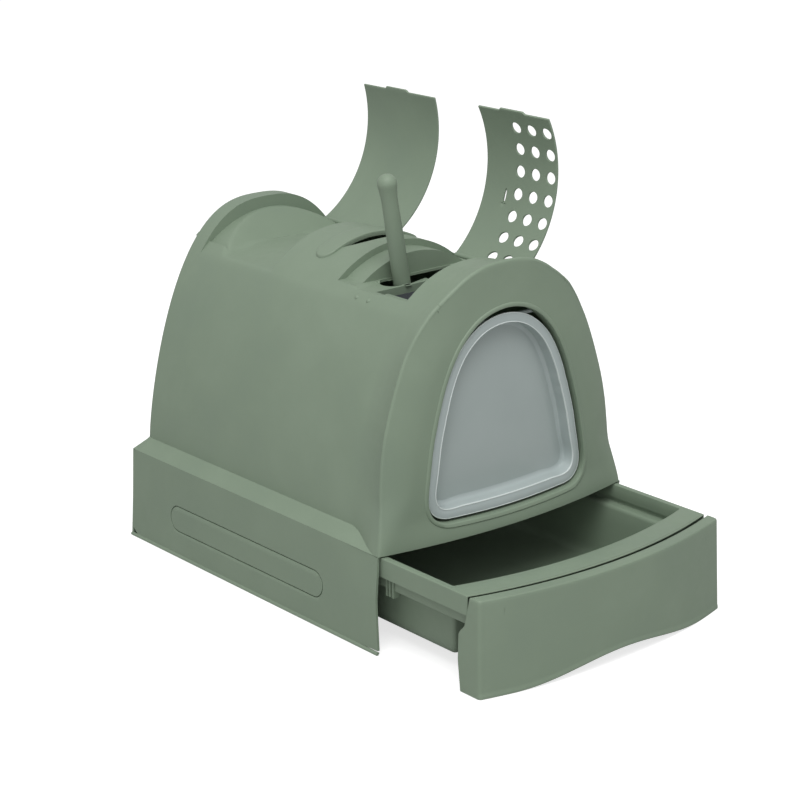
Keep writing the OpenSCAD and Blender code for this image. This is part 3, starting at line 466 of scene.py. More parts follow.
def hood_dome(surface):
    """Skirt, shoulder, arch and top as one grid: each row is a cross-section from the right foot over the
    top to the left foot. Returns the first and last rows."""
    x, inside, well = hood_columns()
    rows, holes = [], []
    for zone, y, hole in hood_stations(x):
        front, spread = flare_share(y[0]), smooth(front_run(y[0]))
        sx, sz, top_x, top_z = side_profile(front, spread)
        shoulder = np.linspace(0, 1, 4)[:-1]
        px = np.concatenate([top_x + (sx[0] - top_x) * shoulder, sx])
        pz = np.concatenate([top_z + (sz[0] - top_z) * shoulder, sz])
        right = points(px, y[0], pz)
        top = points(x * (1 + (CREASE_SPREAD - 1) * front), y, zone_height(zone, x, y, inside, well))
        row = np.concatenate([right, top, right[::-1] * np.array([-1, 1, 1])])
        share = np.clip(front_run(row[:, 1]), 0, 1)
        row[:, 1] += share * (face_y(row[:, 0], row[:, 2]) + edge_back(row[:, 2]) + EDGE_R - FRONT_Y)
        rows.append(row)
        holes.append(hole)
    grid = np.stack(rows)
    keep = np.ones((grid.shape[0] - 1, grid.shape[1] - 1), bool)
    middle = (grid[:-1, :-1] + grid[1:, 1:]) / 2
    holes = np.array(holes)[:-1]
    keep[holes] = np.abs(grid[1:, :-1, 1] - grid[:-1, :-1, 1])[holes] < WELD
    keep &= ~grille(middle)
    surface.grid(grid, keep=keep)
    return grid[0], grid[-1]


def grille(middle):
    """Mask of the cells that lie in an air slot of the well floor."""
    pitches = (middle[..., 0] + WELL_HALF_W) / SLAT_PITCH
    slot = np.abs(pitches - np.round(pitches)) * SLAT_PITCH < SLAT_HALF - 0.06
    inner = (np.abs(middle[..., 0]) < WELL_HALF_W - 10) & (middle[..., 1] > -160) & (middle[..., 1] < -119)
    return slot & inner & (np.abs(middle[..., 2] - WELL_Z) < 1)


def front_edge(surface, first):
    """Small round from the dome to the face: a quarter circle that goes inwards by r(1 - cos) and forward by
    r sin. Low down it goes straight inwards. A patch closes the point of the shoulder on each side."""
    loop = first[3:-3, [0, 2]]
    n = across(np.gradient(loop, axis=0))
    low = np.clip((175 - loop[:, 1:]) / 35, 0, 1)
    n = n * (1 - low) + np.stack([-np.sign(loop[:, 0]), 0 * loop[:, 0]], -1) * low
    n /= np.linalg.norm(n, axis=1, keepdims=True)
    turn = np.linspace(0, np.pi / 2, 4)
    rings = []
    for a in turn:
        q = loop + n * EDGE_R * (1 - math.cos(a))
        rings.append(on_face(q, edge_back(loop[:, 1]) + EDGE_R * (1 - math.sin(a))))
    surface.grid(np.stack(rings))
    for end, corner in ((0, first[0]), (-1, first[-1])):
        y = face_y(corner[0], corner[2]) + EDGE_R * (1 - np.sin(turn))
        surface.grid(np.stack([np.stack(rings)[:, end], points(corner[0], y, corner[2])]))
    return rings[-1]


def door_loop(n_low=60):
    """Opening outline from its left bottom corner along the sagging foot and up over the top, as (x, z)."""
    u = np.linspace(-1, 1, n_low, endpoint=False)
    foot = np.stack([DOOR_HALF_W * DOOR_SHARES[0, 1] * u, DOOR_LOW_Z - DOOR_SAG * (1 - u * u)], -1)
    rise = DOOR_TOP_Z - DOOR_LOW_Z
    side = np.stack([DOOR_HALF_W * DOOR_SHARES[:, 1], DOOR_LOW_Z + rise * DOOR_SHARES[:, 0]], -1)
    top = np.array([[0.0, DOOR_TOP_Z]])
    return np.concatenate([foot, side, top, side[::-1] * np.array([-1, 1])])


def door_at(angle):
    """Opening outline at polar angles about the door's middle, eased by averaging over a short arc."""
    loop = door_loop() - np.array([0, DOOR_CENTRE_Z])
    a, r = np.arctan2(loop[:, 1], loop[:, 0]), np.linalg.norm(loop, axis=1)
    order = np.argsort(a)
    spread = np.radians(np.linspace(-2.2, 2.2, 9))
    reach = np.mean([np.interp(angle + s, a[order], r[order], period=2 * np.pi) for s in spread], axis=0)
    return np.stack([reach * np.cos(angle), DOOR_CENTRE_Z + reach * np.sin(angle)], -1)


def front_face(surface, rim):
    """Face between the rounded edge and the opening: rings from the rim to the opening, with a raised bead
    round the opening and a collar behind it."""
    low = np.linspace(0, 1, 70)[1:-1]
    a, b = rim[-1], rim[0]
    foot = a + (b - a) * low[:, None]
    outer = np.concatenate([rim, foot])[:, [0, 2]]
    angle = np.arctan2(outer[:, 1] - DOOR_CENTRE_Z, outer[:, 0])
    inner = door_at(angle)
    grow = inward(inner, -1.0) - inner
    rings = []
    bead = inner + grow * (BEAD_W + 0.4)
    bent = np.minimum(EDGE_IN, np.linalg.norm(bead - outer, axis=1))
    for t in np.linspace(0, 1, 14):
        q = outer + (bead - outer) * t
        away = np.minimum(np.linalg.norm(q - outer, axis=1) / bent, 1)
        rings.append(on_face(q, edge_back(outer[:, 1]) * (1 - away) ** EDGE_POWER))
    steps = [(BEAD_W - 0.1, -0.7), (BEAD_W - 0.8, -BEAD_H), (1.1, -BEAD_H), (0.3, -0.8), (0, 0), (0, 4),
             (0, COLLAR_DEPTH)]
    rings += [on_face(inner + grow * out, depth) for out, depth in steps]
    surface.rings(rings)


def rear_face(surface, last):
    """Back: a small round from the dome's last row, then rows that sink to the top of the rear panel, the
    panel itself, which leans out to the skirt's rear line, and a patch at each end of the shoulder."""
    loop = last[:, [0, 2]]
    n = across(np.gradient(loop, axis=0))
    rings = []
    for a in np.linspace(0, np.pi / 2, 4):
        q = loop + n * REAR_R * (1 - math.cos(a))
        rings.append(points(q[:, 0], HALF_LEN - REAR_R + REAR_R * math.sin(a), q[:, 1]))
    edge = rings[-1][:, [0, 2]]
    for k in (0.75, 0.5, 0.25, 0):
        z = np.where(edge[:, 1] < REAR_PANEL_Z, edge[:, 1], REAR_PANEL_Z + (edge[:, 1] - REAR_PANEL_Z) * k)
        rings.append(points(edge[:, 0], HALF_LEN, np.maximum(z, FACE_BOTTOM_Z)))
    surface.grid(np.stack(rings))
    share = np.linspace(1, -1, 60)
    rows = []
    inner_x = ARCH_HALF_W - 2.6
    for z in np.concatenate([np.linspace(0, SHOULDER_Z, 12), np.linspace(SHOULDER_Z, REAR_PANEL_Z, 10)[1:]]):
        half = np.interp(z, [0, SHOULDER_Z, ARCH_FOOT_Z, REAR_PANEL_Z],
                         [SKIRT_FOOT_HALF_W, SKIRT_TOP_HALF_W, inner_x, 174.0])
        rows.append(points(share * half, rear_side_y(z), z))
    surface.grid(np.stack(rows))
    for s in (-1, 1):
        low = [(s * SKIRT_TOP_HALF_W, y, SHOULDER_Z) for y in (HALF_LEN - REAR_R, HALF_LEN + REAR_TOP)]
        high = [(s * ARCH_HALF_W, HALF_LEN - REAR_R, ARCH_FOOT_Z), (s * inner_x, HALF_LEN, ARCH_FOOT_Z)]
        surface.grid(np.array([low, high]))


def skirt_x(z):
    """Half width of the skirt at a height."""
    return SKIRT_FOOT_HALF_W + (SKIRT_TOP_HALF_W - SKIRT_FOOT_HALF_W) * np.clip(z / SHOULDER_Z, 0, 1)


def rear_side_y(z):
    """Rear line of the skirt, which flares towards the floor."""
    return HALF_LEN + np.interp(z, [0, FACE_BOTTOM_Z / 2, SHOULDER_Z, ARCH_FOOT_Z],
                                [REAR_FLARE, REAR_TOP + (REAR_FLARE - REAR_TOP) * KNEE_SHARE, REAR_TOP, 0])


def front_side_y(z):
    """Front line of the skirt, which flares towards the floor."""
    return np.interp(z, [0, FACE_BOTTOM_Z / 2, FACE_BOTTOM_Z],
                     [-HALF_LEN - FRONT_FLARE, -HALF_LEN - FRONT_FLARE * KNEE_SHARE, -HALF_LEN + 0.4])


def to_edge(step, place, low, high):
    """Distance from a place, along the step, to low or high, whichever lies that way."""
    still = np.abs(step) < 1e-6
    return np.where(still, np.inf, (np.where(step > 0, high, low) - place) / np.where(still, 1, step))


def skirt_side(surface, sign):
    """Side of the skirt: rings that go from its outline to the engraved round-ended line and across its groove."""
    centre_y, angle = stadium(LINE_Y0 + LINE_R, LINE_Y1 - LINE_R, 60, 25)
    low, high = FOOT_BEAD_H + 0.6, SHOULDER_Z

    def on_skirt(y, z, depth=0.0):
        """Points of the skirt over places (y, z); the top row follows the shoulder down to the front."""
        front = smooth(front_run(y))
        top = SHOULDER_Z - 3.0 * front
        z = np.where(z >= high - WELD, top, z)
        x = skirt_x(z) - SKIRT_IN * front * smooth((z - 60) / (top - 60)) - depth
        return points(sign * x, y, z)

    c, s = np.cos(angle), np.sin(angle)
    reach = np.minimum(to_edge(c, centre_y, -HALF_LEN, HALF_LEN), to_edge(s, LINE_Z, low, high))
    rings = []
    for t in np.linspace(0, 1, 8):
        r = reach + (LINE_R + 0.25 - reach) * t
        y, z = centre_y + c * r, LINE_Z + s * r
        stretch_front = smooth((-150 - y) / 87.0) * (front_side_y(z) + HALF_LEN)
        stretch_rear = smooth((y - 160) / 77.0) * (rear_side_y(z) - HALF_LEN)
        rings.append(on_skirt(y + (stretch_front + stretch_rear) * (t < 1), z))
    groove_in = LINE_R - LINE_W
    for r, depth in ((LINE_R, 0.2), (LINE_R - 0.25, LINE_DEPTH), (groove_in + 0.25, LINE_DEPTH),
                     (groove_in, 0.2), (groove_in - 0.25, 0), (LINE_R * 0.5, 0), (0, 0)):
        rings.append(on_skirt(centre_y + c * r, LINE_Z + s * r, depth))
    surface.rings(rings)


def foot_bead(surface, sign):
    """Bead along the foot of the side: a small rounded step from the skirt down to the floor."""
    share = np.linspace(0, 1, 80)
    rows = []
    for z, out in ((FOOT_BEAD_H + 0.6, 0), (FOOT_BEAD_H, 0.3), (FOOT_BEAD_H - 0.4, 1.2),
                   (FOOT_BEAD_H - 1.3, FOOT_BEAD), (0.8, FOOT_BEAD)):
        line = front_side_y(z) + (rear_side_y(z) - front_side_y(z)) * share
        rows.append(points(sign * (skirt_x(z) + out), line, z))
    surface.grid(np.stack(rows))


def build_hood(material):
    """Hood skin, thickened inwards, with the skirt sides, latch bumps, guide lugs and door bosses."""
    skin = Surface()
    first, last = hood_dome(skin)
    rim = front_edge(skin, first)
    front_face(skin, rim)
    rear_face(skin, last)
    add_piece("hood", skin, "hood", "hood_shell", material, (-1, -0.1, 0.4), WALL)
    sides = Surface()
    for sign in (-1, 1):
        skirt_side(sides, sign)
        foot_bead(sides, sign)
    add_piece("hood_skirt", sides, "hood", "hood_shell", material, (-1, 0, 0.05), WALL)
    extra = Surface()
    turn = math.radians(LATCH_TURN)
    u, v = np.meshgrid(np.linspace(0, np.pi, 13), np.linspace(0, 2 * np.pi, 20, endpoint=False), indexing="ij")
    ball = LATCH_R * points(np.sin(u) * np.cos(v), np.sin(u) * np.sin(v), np.cos(u))
    for y in LATCH_Y:
        c = np.array([math.sin(turn) * (TOP_R - 1.8), y, TOP_AXIS_Z + math.cos(turn) * (TOP_R - 1.8)])
        extra.grid(c + ball, wrap=True)
    for s in (-1, 1):
        tube(extra, 5.5, (s * 57, PIN_Y, PIN_Z), (s * 62, PIN_Y, PIN_Z), 32)
        lug_y = SLOT_Y + s * 16
        box(extra, (-43.5, lug_y - 4.5, FRONT_FLOOR_Z - WALL), (-34.5, lug_y + 4.5, FRONT_FLOOR_Z - 2.4))
    add_piece("hood_bosses", extra, "hood", "hood_shell", material)


def build_handle(material):
    """Carry strap: rings of a round-ended plan, wrapped on the radius of the band and raised with a soft edge."""
    half, r = STRAP_HALF_L, STRAP_R
    cx, angle = stadium(r - half, half - r, 40, 17)
    rings = []
    edge = ((0, 0), (r, 0), (r, 1.7), (r - 0.25, 2.4), (r - 0.9, 2.85), (r - 1.8, 3.0), (r * 0.5, 3.0), (0, 3.0))
    for reach, rise in edge:
        x = cx + np.cos(angle) * reach
        rings.append(points(x, STRAP_Y + np.sin(angle) * reach, circle_z(x, TOP_R + rise)))
    strap = Surface().rings(rings)
    add_piece("carry_strap", strap, "hood", "carry_handle", material)


def arc_points(s, y):
    """Points on the closed lid: s is the arc length across, along the hood it is y."""
    a = s / TOP_R
    return points(TOP_R * np.sin(a), y, TOP_AXIS_Z + TOP_R * np.cos(a))


def holed_cell(surface, s0, s1, y0, y1, cs, cy, rs, ry, n=8):
    """Cell with a hole: each side of the cell faces a quarter of the hole, joined by two rings."""
    t = np.linspace(0, 1, n, endpoint=False)
    s = np.concatenate([s0 + (s1 - s0) * t, np.full(n, s1), s1 + (s0 - s1) * t, np.full(n, s0)])
    y = np.concatenate([np.full(n, y0), y0 + (y1 - y0) * t, np.full(n, y1), y1 + (y0 - y1) * t])
    a = np.radians(-135) + np.arange(4 * n) * 2 * np.pi / (4 * n)
    hs, hy = cs + rs * np.cos(a), cy + ry * np.sin(a)
    rings = [arc_points(s + (hs - s) * k, y + (hy - y) * k) for k in (0, 0.5, 0.85, 1)]
    surface.rings(rings)


def lid_plate(surface, s, y, tab_y):
    """Plain part of a lid; its free edge stands out a little where the finger tab is."""
    s, y = np.meshgrid(s, y, indexing="ij")
    tab = smooth((TAB_HALF - np.abs(y - tab_y)) / 2 + 0.5) * np.clip((-94 - s) / (LID_EDGE - 94), 0, 1)
    surface.grid(arc_points(s - TAB_OUT * tab, y))


def lid_object(name, skin, ends, angle, body, node, material):
    """Thickens the lid, adds barrel and pins, and turns it open about its hinge."""
    y0, y1 = ends
    tube_skin = Surface()
    tube(tube_skin, 3.4, (HINGE_X, y0, HINGE_Z), (HINGE_X, y1, HINGE_Z), 28)
    tube(tube_skin, 1.8, (HINGE_X, y0 - 8.5, HINGE_Z), (HINGE_X, y1 + 8.5, HINGE_Z), 20)
    skin.points = [about_hinge(p, angle) for p in skin.points]
    tube_skin.points = [about_hinge(p, angle) for p in tube_skin.points]
    outer = about_hinge(np.array([0.0, (y0 + y1) / 2, TOP_AXIS_Z + TOP_R + 60]), angle) * MM
    add_piece(name, skin, body, node, material, outer, LID_T, 0.4)
    add_piece(name + "_barrel", tube_skin, body, node, material)


def build_rear_lid(material):
    """Plain curved lid over the scoop and litter compartment at the back."""
    skin = Surface()
    lid_plate(skin, np.linspace(-LID_EDGE, LID_EDGE, 60), np.linspace(*REAR_LID_Y, 61), 144.0)
    lid_object("lid_rear", skin, REAR_LID_Y, REAR_LID_OPEN, "back_cover", "rear_lid", material)


def build_front_lid(material):
    """Curved lid with seven rows of three vent holes and a catch slot."""
    skin = Surface()
    rows = -78.2 + VENT_PITCH * np.arange(VENT_ROWS)
    s_edges = np.concatenate([rows - VENT_PITCH / 2, [LID_EDGE]])
    y_edges, slot_edges = [FRONT_LID_Y[0], -145, -119, -93], np.linspace(-93, -77, 9)
    n = 8
    for i, cs in enumerate(rows):
        for j, cy in enumerate((-158, -132, -106)):
            holed_cell(skin, *s_edges[i:i + 2], *y_edges[j:j + 2], cs, cy, VENT_S, VENT_Y, n)
    cells = [s_edges[i] + (s_edges[i + 1] - s_edges[i]) * np.arange(n) / n for i in range(VENT_ROWS)]
    s_all = np.concatenate([np.linspace(-LID_EDGE, s_edges[0], 4)[:-1], *cells, [LID_EDGE]])
    y_holes = np.concatenate([y_edges[j] + (y_edges[j + 1] - y_edges[j]) * np.arange(n) / n for j in range(3)])
    y_plain = np.linspace(-76, FRONT_LID_Y[1], 12)
    lid_plate(skin, s_all[:4], np.concatenate([y_holes, slot_edges, y_plain]), -106.0)
    lid_plate(skin, s_all[3:], y_plain, -106.0)
    for i in range(VENT_ROWS):
        span = s_all[3 + n * i:4 + n * (i + 1)]
        if i == 3:
            holed_cell(skin, s_edges[3], s_edges[4], -93, -77, 11.6, -85, 10, 2, n)
        else:
            lid_plate(skin, span, slot_edges, -106.0)
    lid_plate(skin, s_all[3:], np.array([-77.0, -76.0]), -106.0)
    lid_object("lid_front", skin, FRONT_LID_Y, FRONT_LID_OPEN, "front_cover", "front_lid", material)


def tray_loop(half, front, bow, rear, front_r, rear_r, z):
    """Plan loop of the tray at one height: bowed front, round corners, straight sides and rear."""
    x = np.linspace(-(half - front_r), half - front_r, 61)
    turn = np.linspace(0, np.pi / 2, 9)[1:]
    corner_y = bow_y(half - front_r, half, front, bow)
    front_x, front_y = half - front_r + front_r * np.sin(turn), corner_y + front_r * (1 - np.cos(turn))
    rear_x, rear_y = half - rear_r + rear_r * np.cos(turn), rear - rear_r + rear_r * np.sin(turn)
    side = np.linspace(corner_y + front_r, rear - rear_r, 50)
    px = [x, front_x, np.full(49, half), rear_x, np.linspace(half - rear_r, -(half - rear_r), 40)[1:],
          -rear_x[-2::-1], np.full(50, -half), -front_x[:0:-1]]
    py = [bow_y(x, half, front, bow), front_y, side[1:], rear_y, np.full(39, rear),
          rear_y[-2::-1], side[::-1], front_y[:0:-1]]
    return points(np.concatenate(px), np.concatenate(py), z)


def rim_loop(d, z):
    """Outer loop of the rim, moved in by d."""
    return tray_loop(RIM_HALF - d, TRAY_FRONT + d, TRAY_BOW, TRAY_REAR - d, 1.5, max(22.0 - d, 2.0), z)


def tub_loop(d, z):
    """Loop inside the rim, which is wider at the front than at the sides. It goes in by d."""
    return tray_loop(TUB_HALF - d, TUB_FRONT + d, TRAY_BOW - 1, TUB_REAR - d, 3.0, max(22.0 - d, 2.0), z)


def build_tray(material):
    """Litter tray: rings from the foot of the flange, over the rounded rim and down the tub to its floor."""
    skin = Surface()
    rim = ((0, 90.2), (0, 111.4), (0, 112.0), (0.2, 112.6), (0.8, 113.0), (2.4, 113.2))
    rings = [rim_loop(d, z) for d, z in rim]
    for ring in rings[:2]:
        ring[:, 1] += RIM_UNDERCUT * smooth((-380.4 - ring[:, 1]) / 3.0)
    profile = [(-1.0, 113.2), (-0.3, 113.0), (0, 112.2), (0.8, 97.6), (0.6, 97), (-1.6, 96.6), (-1.8, 96),
               (-1.8, 91.4), (-1.2, 91), (3, 90.9), (6.4, 91), (9.6, 90.6), (11.4, 89.2), (12.2, 86.6),
               (14, 70), (16, 50), (18, 31.5)]
    for a in np.linspace(0, np.pi / 2, 6)[1:]:
        profile.append((18 + 12 * (1 - math.cos(a)), TUB_FLOOR_Z + 12 * (1 - math.sin(a))))
    rings += [tub_loop(d, z) for d, z in profile]
    floor = rings[-1]
    for k in (0.7, 0.4, 0.0):
        rings.append(points(floor[:, 0] * k, TUB_MIDDLE_Y + (floor[:, 1] - TUB_MIDDLE_Y) * k, TUB_FLOOR_Z))
    skin.rings(rings)
    step = [rim_loop(6, z) for z in np.linspace(91.0, 77.5, 5)]
    step += [rim_loop(d, z) for d, z in ((6.6, 76.3), (9, 76.0), (13.5, 76.0))]
    skin.rings(step)
    add_piece("tray", skin, "drawer", "litter_tray", material, (0, -0.15, 1), TRAY_T)
    ribs = Surface()
    for s in (-1, 1):
        for i in range(3):
            y = RIB_Y + RIB_PITCH * i
            x0, x1 = sorted((s * 176.0, s * 185.0))
            box(ribs, (x0, y, 68), (x1, y + 2.2, 91))
    add_piece("tray_ribs", ribs, "drawer", "litter_tray", material)


def return_y(z):
    """Rear edge of the side returns of the drawer front, over the height."""
    return np.interp(z, [0, 36, 68, 79, PANEL_TOP_Z], [-375.0, -369.6, -369.6, -379.2, -385.7])


def front_foot_z(x):
    """Wavy foot of the drawer front: a raised cosine over its middle."""
    wave = WAVE_LOW + WAVE_RISE * (1 + np.cos(np.pi * x / WAVE_HALF))
    return np.where(np.abs(x) < WAVE_HALF, wave, WAVE_LOW)


def build_drawer_front(material):
    """Drawer front: a bowed panel that leans back as it rises, with rounded corners and side returns."""
    corner_r, half = 5.0, PANEL_HALF
    x = np.linspace(-(half - corner_r), half - corner_r, 121)
    turn = np.linspace(0, np.pi / 2, 7)[1:]
    corner = bow_y(half - corner_r, half, PANEL_FRONT, TRAY_BOW)
    cx = half - corner_r + corner_r * np.sin(turn)
    cy = corner + corner_r * (1 - np.cos(turn))
    tail = np.linspace(0, 1, 12)[1:]
    plan_x = np.concatenate([np.full(11, -half), -cx[::-1], x, cx, np.full(11, half)])
    middle_y, ends = bow_y(x, half, PANEL_FRONT, TRAY_BOW), np.full(11, cy[-1])
    plan_y = np.concatenate([ends, cy[::-1], middle_y, cy, ends])
    back = np.concatenate([tail[::-1], np.zeros(len(plan_x) - 22), tail])
    rows = []
    share = np.concatenate([[0, 0.012, 0.03, 0.045], np.linspace(0.07, 0.985, 26), [0.995, 1.0]])
    lip = np.interp(share, [0, 0.012, 0.03, 0.045], [0.9, 1.3, 1.0, 0])
    top_in = np.interp(share, [0.985, 0.995, 1.0], [0, 0.4, 1.1])
    for v, out, inn in zip(share, lip, top_in):
        z = front_foot_z(plan_x) + (PANEL_TOP_Z - front_foot_z(plan_x)) * v
        low = 1 - z / PANEL_TOP_Z
        end_in = np.sign(plan_x) * np.where(np.abs(plan_x) > half - corner_r, inn, 0)
        px = plan_x * (1 + PANEL_END_LEAN / half * low) - end_in
        front = plan_y - PANEL_LEAN * low - out * 0.6 + inn
        py = front + (np.maximum(return_y(z), front) - front) * back
        rows.append(points(px, py, z))
    lip_x = np.clip(px, -186.6, 186.6)
    rows.append(points(lip_x, np.maximum(py, bow_y(lip_x, RIM_HALF, TRAY_FRONT, TRAY_BOW) - 4.8), 112.6))
    skin = Surface().grid(np.stack(rows))
    add_piece("front_panel", skin, "drawer", "drawer_front", material, (0, -1, 0.05), WALL)
    clips = Surface()
    for x0 in (-150, -62, 62, 150):
        y0 = float(bow_y(x0, half, PANEL_FRONT, TRAY_BOW)) + 1.6
        rim_y = min(float(bow_y(x0 + side, RIM_HALF, TRAY_FRONT, TRAY_BOW)) for side in (-11, 11))
        y1 = rim_y + RIM_UNDERCUT - 1
        box(clips, (x0 - 11, y0, 92), (x0 + 11, y1, 101))
    add_piece("front_clips", clips, "drawer", "drawer_front", material)


def build_door(material, pane_material, lip_highlight_material):
    """Swing door: rings of the opening outline moved in, for the flat flange, its inner lip, the sloped wall
    of the dish and the dish floor, which keeps the bow of the face."""
    angle = np.linspace(-np.pi, np.pi, 360, endpoint=False)
    loop = door_at(angle)
    inner = inward(loop, 1.0) - loop
    ray = np.stack([np.cos(angle), np.sin(angle)], -1)
    lean = np.abs(np.sum(inner * ray, 1))
    lean = np.mean([np.roll(lean, k) for k in range(-4, 5)], axis=0)

    def at(d, depth):
        """Ring of the door, moved in from the opening by d and back by depth."""
        q = loop - ray * (d / lean)[:, None]
        q[:, 1] -= DOOR_DROP * smooth((q[:, 1] - 300) / 70.0)
        return on_face(q, DOOR_BACK + depth)

    start, rim = DOOR_GAP, DOOR_GAP + DISH_RIM
    steps = ((start, 1.2), (start + 0.25, 0.4), (start + 1.0, 0), (rim - 1.2, 0), (rim - 0.3, 0.35), (rim, 1.2),
             (rim + 0.8, DISH_DEPTH - 7), (rim + 1.6, DISH_DEPTH - 4), (rim + 3.5, DISH_DEPTH - 2.6),
             (rim + 7, DISH_DEPTH - DOOR_T))
    rings = [at(d, depth) for d, depth in steps]
    lip = Surface()
    # The two thin strips along the edges of the flange get a lighter acrylic: a painted highlight on these edges.
    for edge in (((rim - 1.3, 0.1), (rim - 1.0, -0.5), (rim - 0.2, -0.5), (rim + 0.2, 1.0)),
                 ((start - 0.1, 1.2), (start + 0.1, 0.1), (start + 0.7, -0.2), (start + 1.0, 0.1))):
        lip.rings([at(d, depth) for d, depth in edge])
    flat, pane_rings = rings[-1], []
    for k in (1.0, 0.85, 0.65, 0.45, 0.25, 0.0):
        x, z = flat[:, 0] * k, DOOR_CENTRE_Z + (flat[:, 2] - DOOR_CENTRE_Z) * k
        pane_rings.append(points(x, face_y(x, z) + DOOR_BACK + DISH_DEPTH - DOOR_T, z))
    for name, skin, finish in (("door", rings, material), ("door_pane", pane_rings, pane_material)):
        skin = Surface().rings(skin)
        add_piece(name, skin, "door", "swing_door", finish, (0, -1, 0.25), DOOR_T)
    pins = Surface()
    for s in (-1, 1):
        tube(pins, PIN_R, (s * PIN_X0, PIN_Y, PIN_Z), (s * PIN_X1, PIN_Y, PIN_Z), 24)
        x0, x1 = sorted((s * 24.0, s * 28.5))
        box(pins, (x0, PIN_Y - 8.8, PIN_Z - 5.0), (x1, PIN_Y, PIN_Z + 1.5))
    add_piece("door_lip", lip, "door", "swing_door", lip_highlight_material)
    add_piece("door_pins", pins, "door", "swing_door", material)


def leaned(p, foot_x=SCOOP_X, lean=SCOOP_LEAN):
    """Scoop points from their own upright axis to their place in the slot, turned sideways by the lean."""
    a = math.radians(lean)
    x, z, c, s = p[..., 0], p[..., 2], math.cos(a), math.sin(a)
    return points(foot_x + x * c - z * s, SLOT_Y + p[..., 1], FRONT_FLOOR_Z + x * s + z * c)


def build_scoop(material):
    """Scoop: a turned handle with a round knob over a walled blade with slots."""
    grip, knob = 10.4, 11.9
    a = np.linspace(0, np.pi / 2, 9)
    tip = [(knob * math.cos(t), HANDLE_UP - knob + knob * math.sin(t)) for t in a]
    profile = [(0, -16), (grip, -16), (grip, 30), (grip * 0.98, 60), (grip * 0.93, 88), (grip * 0.95, 104),
               (knob * 0.96, 116), *tip]
    r, z = np.array(profile).T
    turn = np.linspace(0, 2 * np.pi, 40, endpoint=False)
    bar = points(r[:, None] * np.cos(turn), r[:, None] * np.sin(turn), z[:, None])
    handle = Surface().grid(leaned(bar, HANDLE_X, HANDLE_LEAN), wrap=True)
    blade = Surface()
    w, low, top, pitch = 49.0, SCOOP_UP - SCOOP_LEN, -14.0, 98.0 / 8
    cells = (np.arange(1, 8) * pitch - w)[:, None] + np.array([-2.57, 2.57])
    x = np.concatenate([[-w, -w, -w + 1.2], cells.reshape(-1), [w - 1.2, w, w]])
    depth = np.concatenate([[-9.5, 7.0, 9.2], np.full(14, 9.5), [9.2, 7.0, -9.5]])
    z = np.concatenate([np.linspace(low, low + 13, 4), np.linspace(low + 14, low + 82, 12),
                        np.linspace(low + 83, top, 6)])
    grid_x, grid_z = np.meshgrid(x, z)
    grid_y = np.broadcast_to(depth, grid_x.shape)
    slot = np.zeros((len(z) - 1, len(x) - 1), bool)
    slot[4:15, 3:16:2] = True
    blade.grid(leaned(points(grid_x, grid_y, grid_z)), keep=~slot)
    roof = points(grid_x[-1], depth, grid_z[-1])
    blade.grid(leaned(np.stack([roof, points(roof[:, 0], -9.5, roof[:, 2])])))
    add_piece("scoop_blade", blade, "litter_scoop", "scoop", material, (-0.03, 0.6, 0.3), BLADE_T)
    add_piece("scoop_handle", handle, "litter_scoop", "scoop", material)


def build_filter(material):
    """Felt pad: a block whose section is a high-power superellipse, so all its edges are soft."""
    lo, hi = (np.array(v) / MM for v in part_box("charcoal_filter"))
    c, h = (lo + hi) / 2, (hi - lo) / 2
    u = np.linspace(-np.pi / 2, np.pi / 2, 33)[:, None]
    v = np.linspace(-np.pi, np.pi, 120, endpoint=False)[None]

    def power(t, p):
        """Power that keeps the sign."""
        return np.sign(t) * np.abs(t) ** p

    ring = power(np.cos(u), 0.25)
    p = points(c[0] + h[0] * ring * power(np.cos(v), 0.12), c[1] + h[1] * ring * power(np.sin(v), 0.12),
               c[2] + h[2] * power(np.sin(u), 0.5))
    pad = Surface().grid(p, wrap=True)
    add_piece("filter_pad", pad, "filter_pad", "charcoal_filter", material, sharp=60)


def linear(hex_colour):
    """sRGB hex value as linear red, green, blue and alpha."""
    c = np.array([int(hex_colour[i:i + 2], 16) for i in (1, 3, 5)]) / 255
    return (*np.where(c <= 0.04045, c / 12.92, ((c + 0.055) / 1.055) ** 2.4), 1.0)


def fill(owner, node, values, links):
    """Sets properties or input values of a node by name, or an input by its number, and links its inputs
    from other sockets. The owner is a material or the world."""
    for key, value in values.items():
        if isinstance(key, int) or key in node.inputs:
            node.inputs[key].default_value = value
        else:
            setattr(node, key, value)
    for key, socket in links.items():
        owner.node_tree.links.new(socket, node.inputs[key])
    return node


def add(owner, kind, values=None, links=None):
    """Adds a node and fills it in."""
    return fill(owner, owner.node_tree.nodes.new(kind), values or {}, links or {})


def new_material(name):
    """Empty material with its shader and its object coordinates."""
    mat = bpy.data.materials.new(name)
    mat.use_nodes = True
    mat.node_tree.nodes.clear()
    shader = add(mat, "ShaderNodeBsdfPrincipled")
    add(mat, "ShaderNodeOutputMaterial", links={"Surface": shader.outputs["BSDF"]})
    return mat, shader, add(mat, "ShaderNodeTexCoord").outputs["Object"]


def noise(mat, place, size, detail, roughness=0.5):
    """Noise value over the object, with a pattern of the given size in mm."""
    values = {"Scale": 1 / (size * MM), "Detail": detail, "Roughness": roughness}
    return add(mat, "ShaderNodeTexNoise", values, {"Vector": place}).outputs["Fac"]


def colours(mat, factor, first, last, middle=()):
    """Ramp between hex colours, each with its place."""
    ramp = add(mat, "ShaderNodeValToRGB", {}, {"Fac": factor})
    for stop, (place, colour) in zip(ramp.color_ramp.elements, (first, last)):
        stop.position, stop.color = place, linear(colour)
    for place, colour in middle:
        ramp.color_ramp.elements.new(place).color = linear(colour)
    return ramp.outputs["Color"]


def mapped(mat, value, start, end, low, high):
    """Value from the range start to end, brought to the range low to high."""
    values = {"From Min": start, "From Max": end, "To Min": low, "To Max": high}
    return add(mat, "ShaderNodeMapRange", values, {"Value": value}).outputs["Result"]


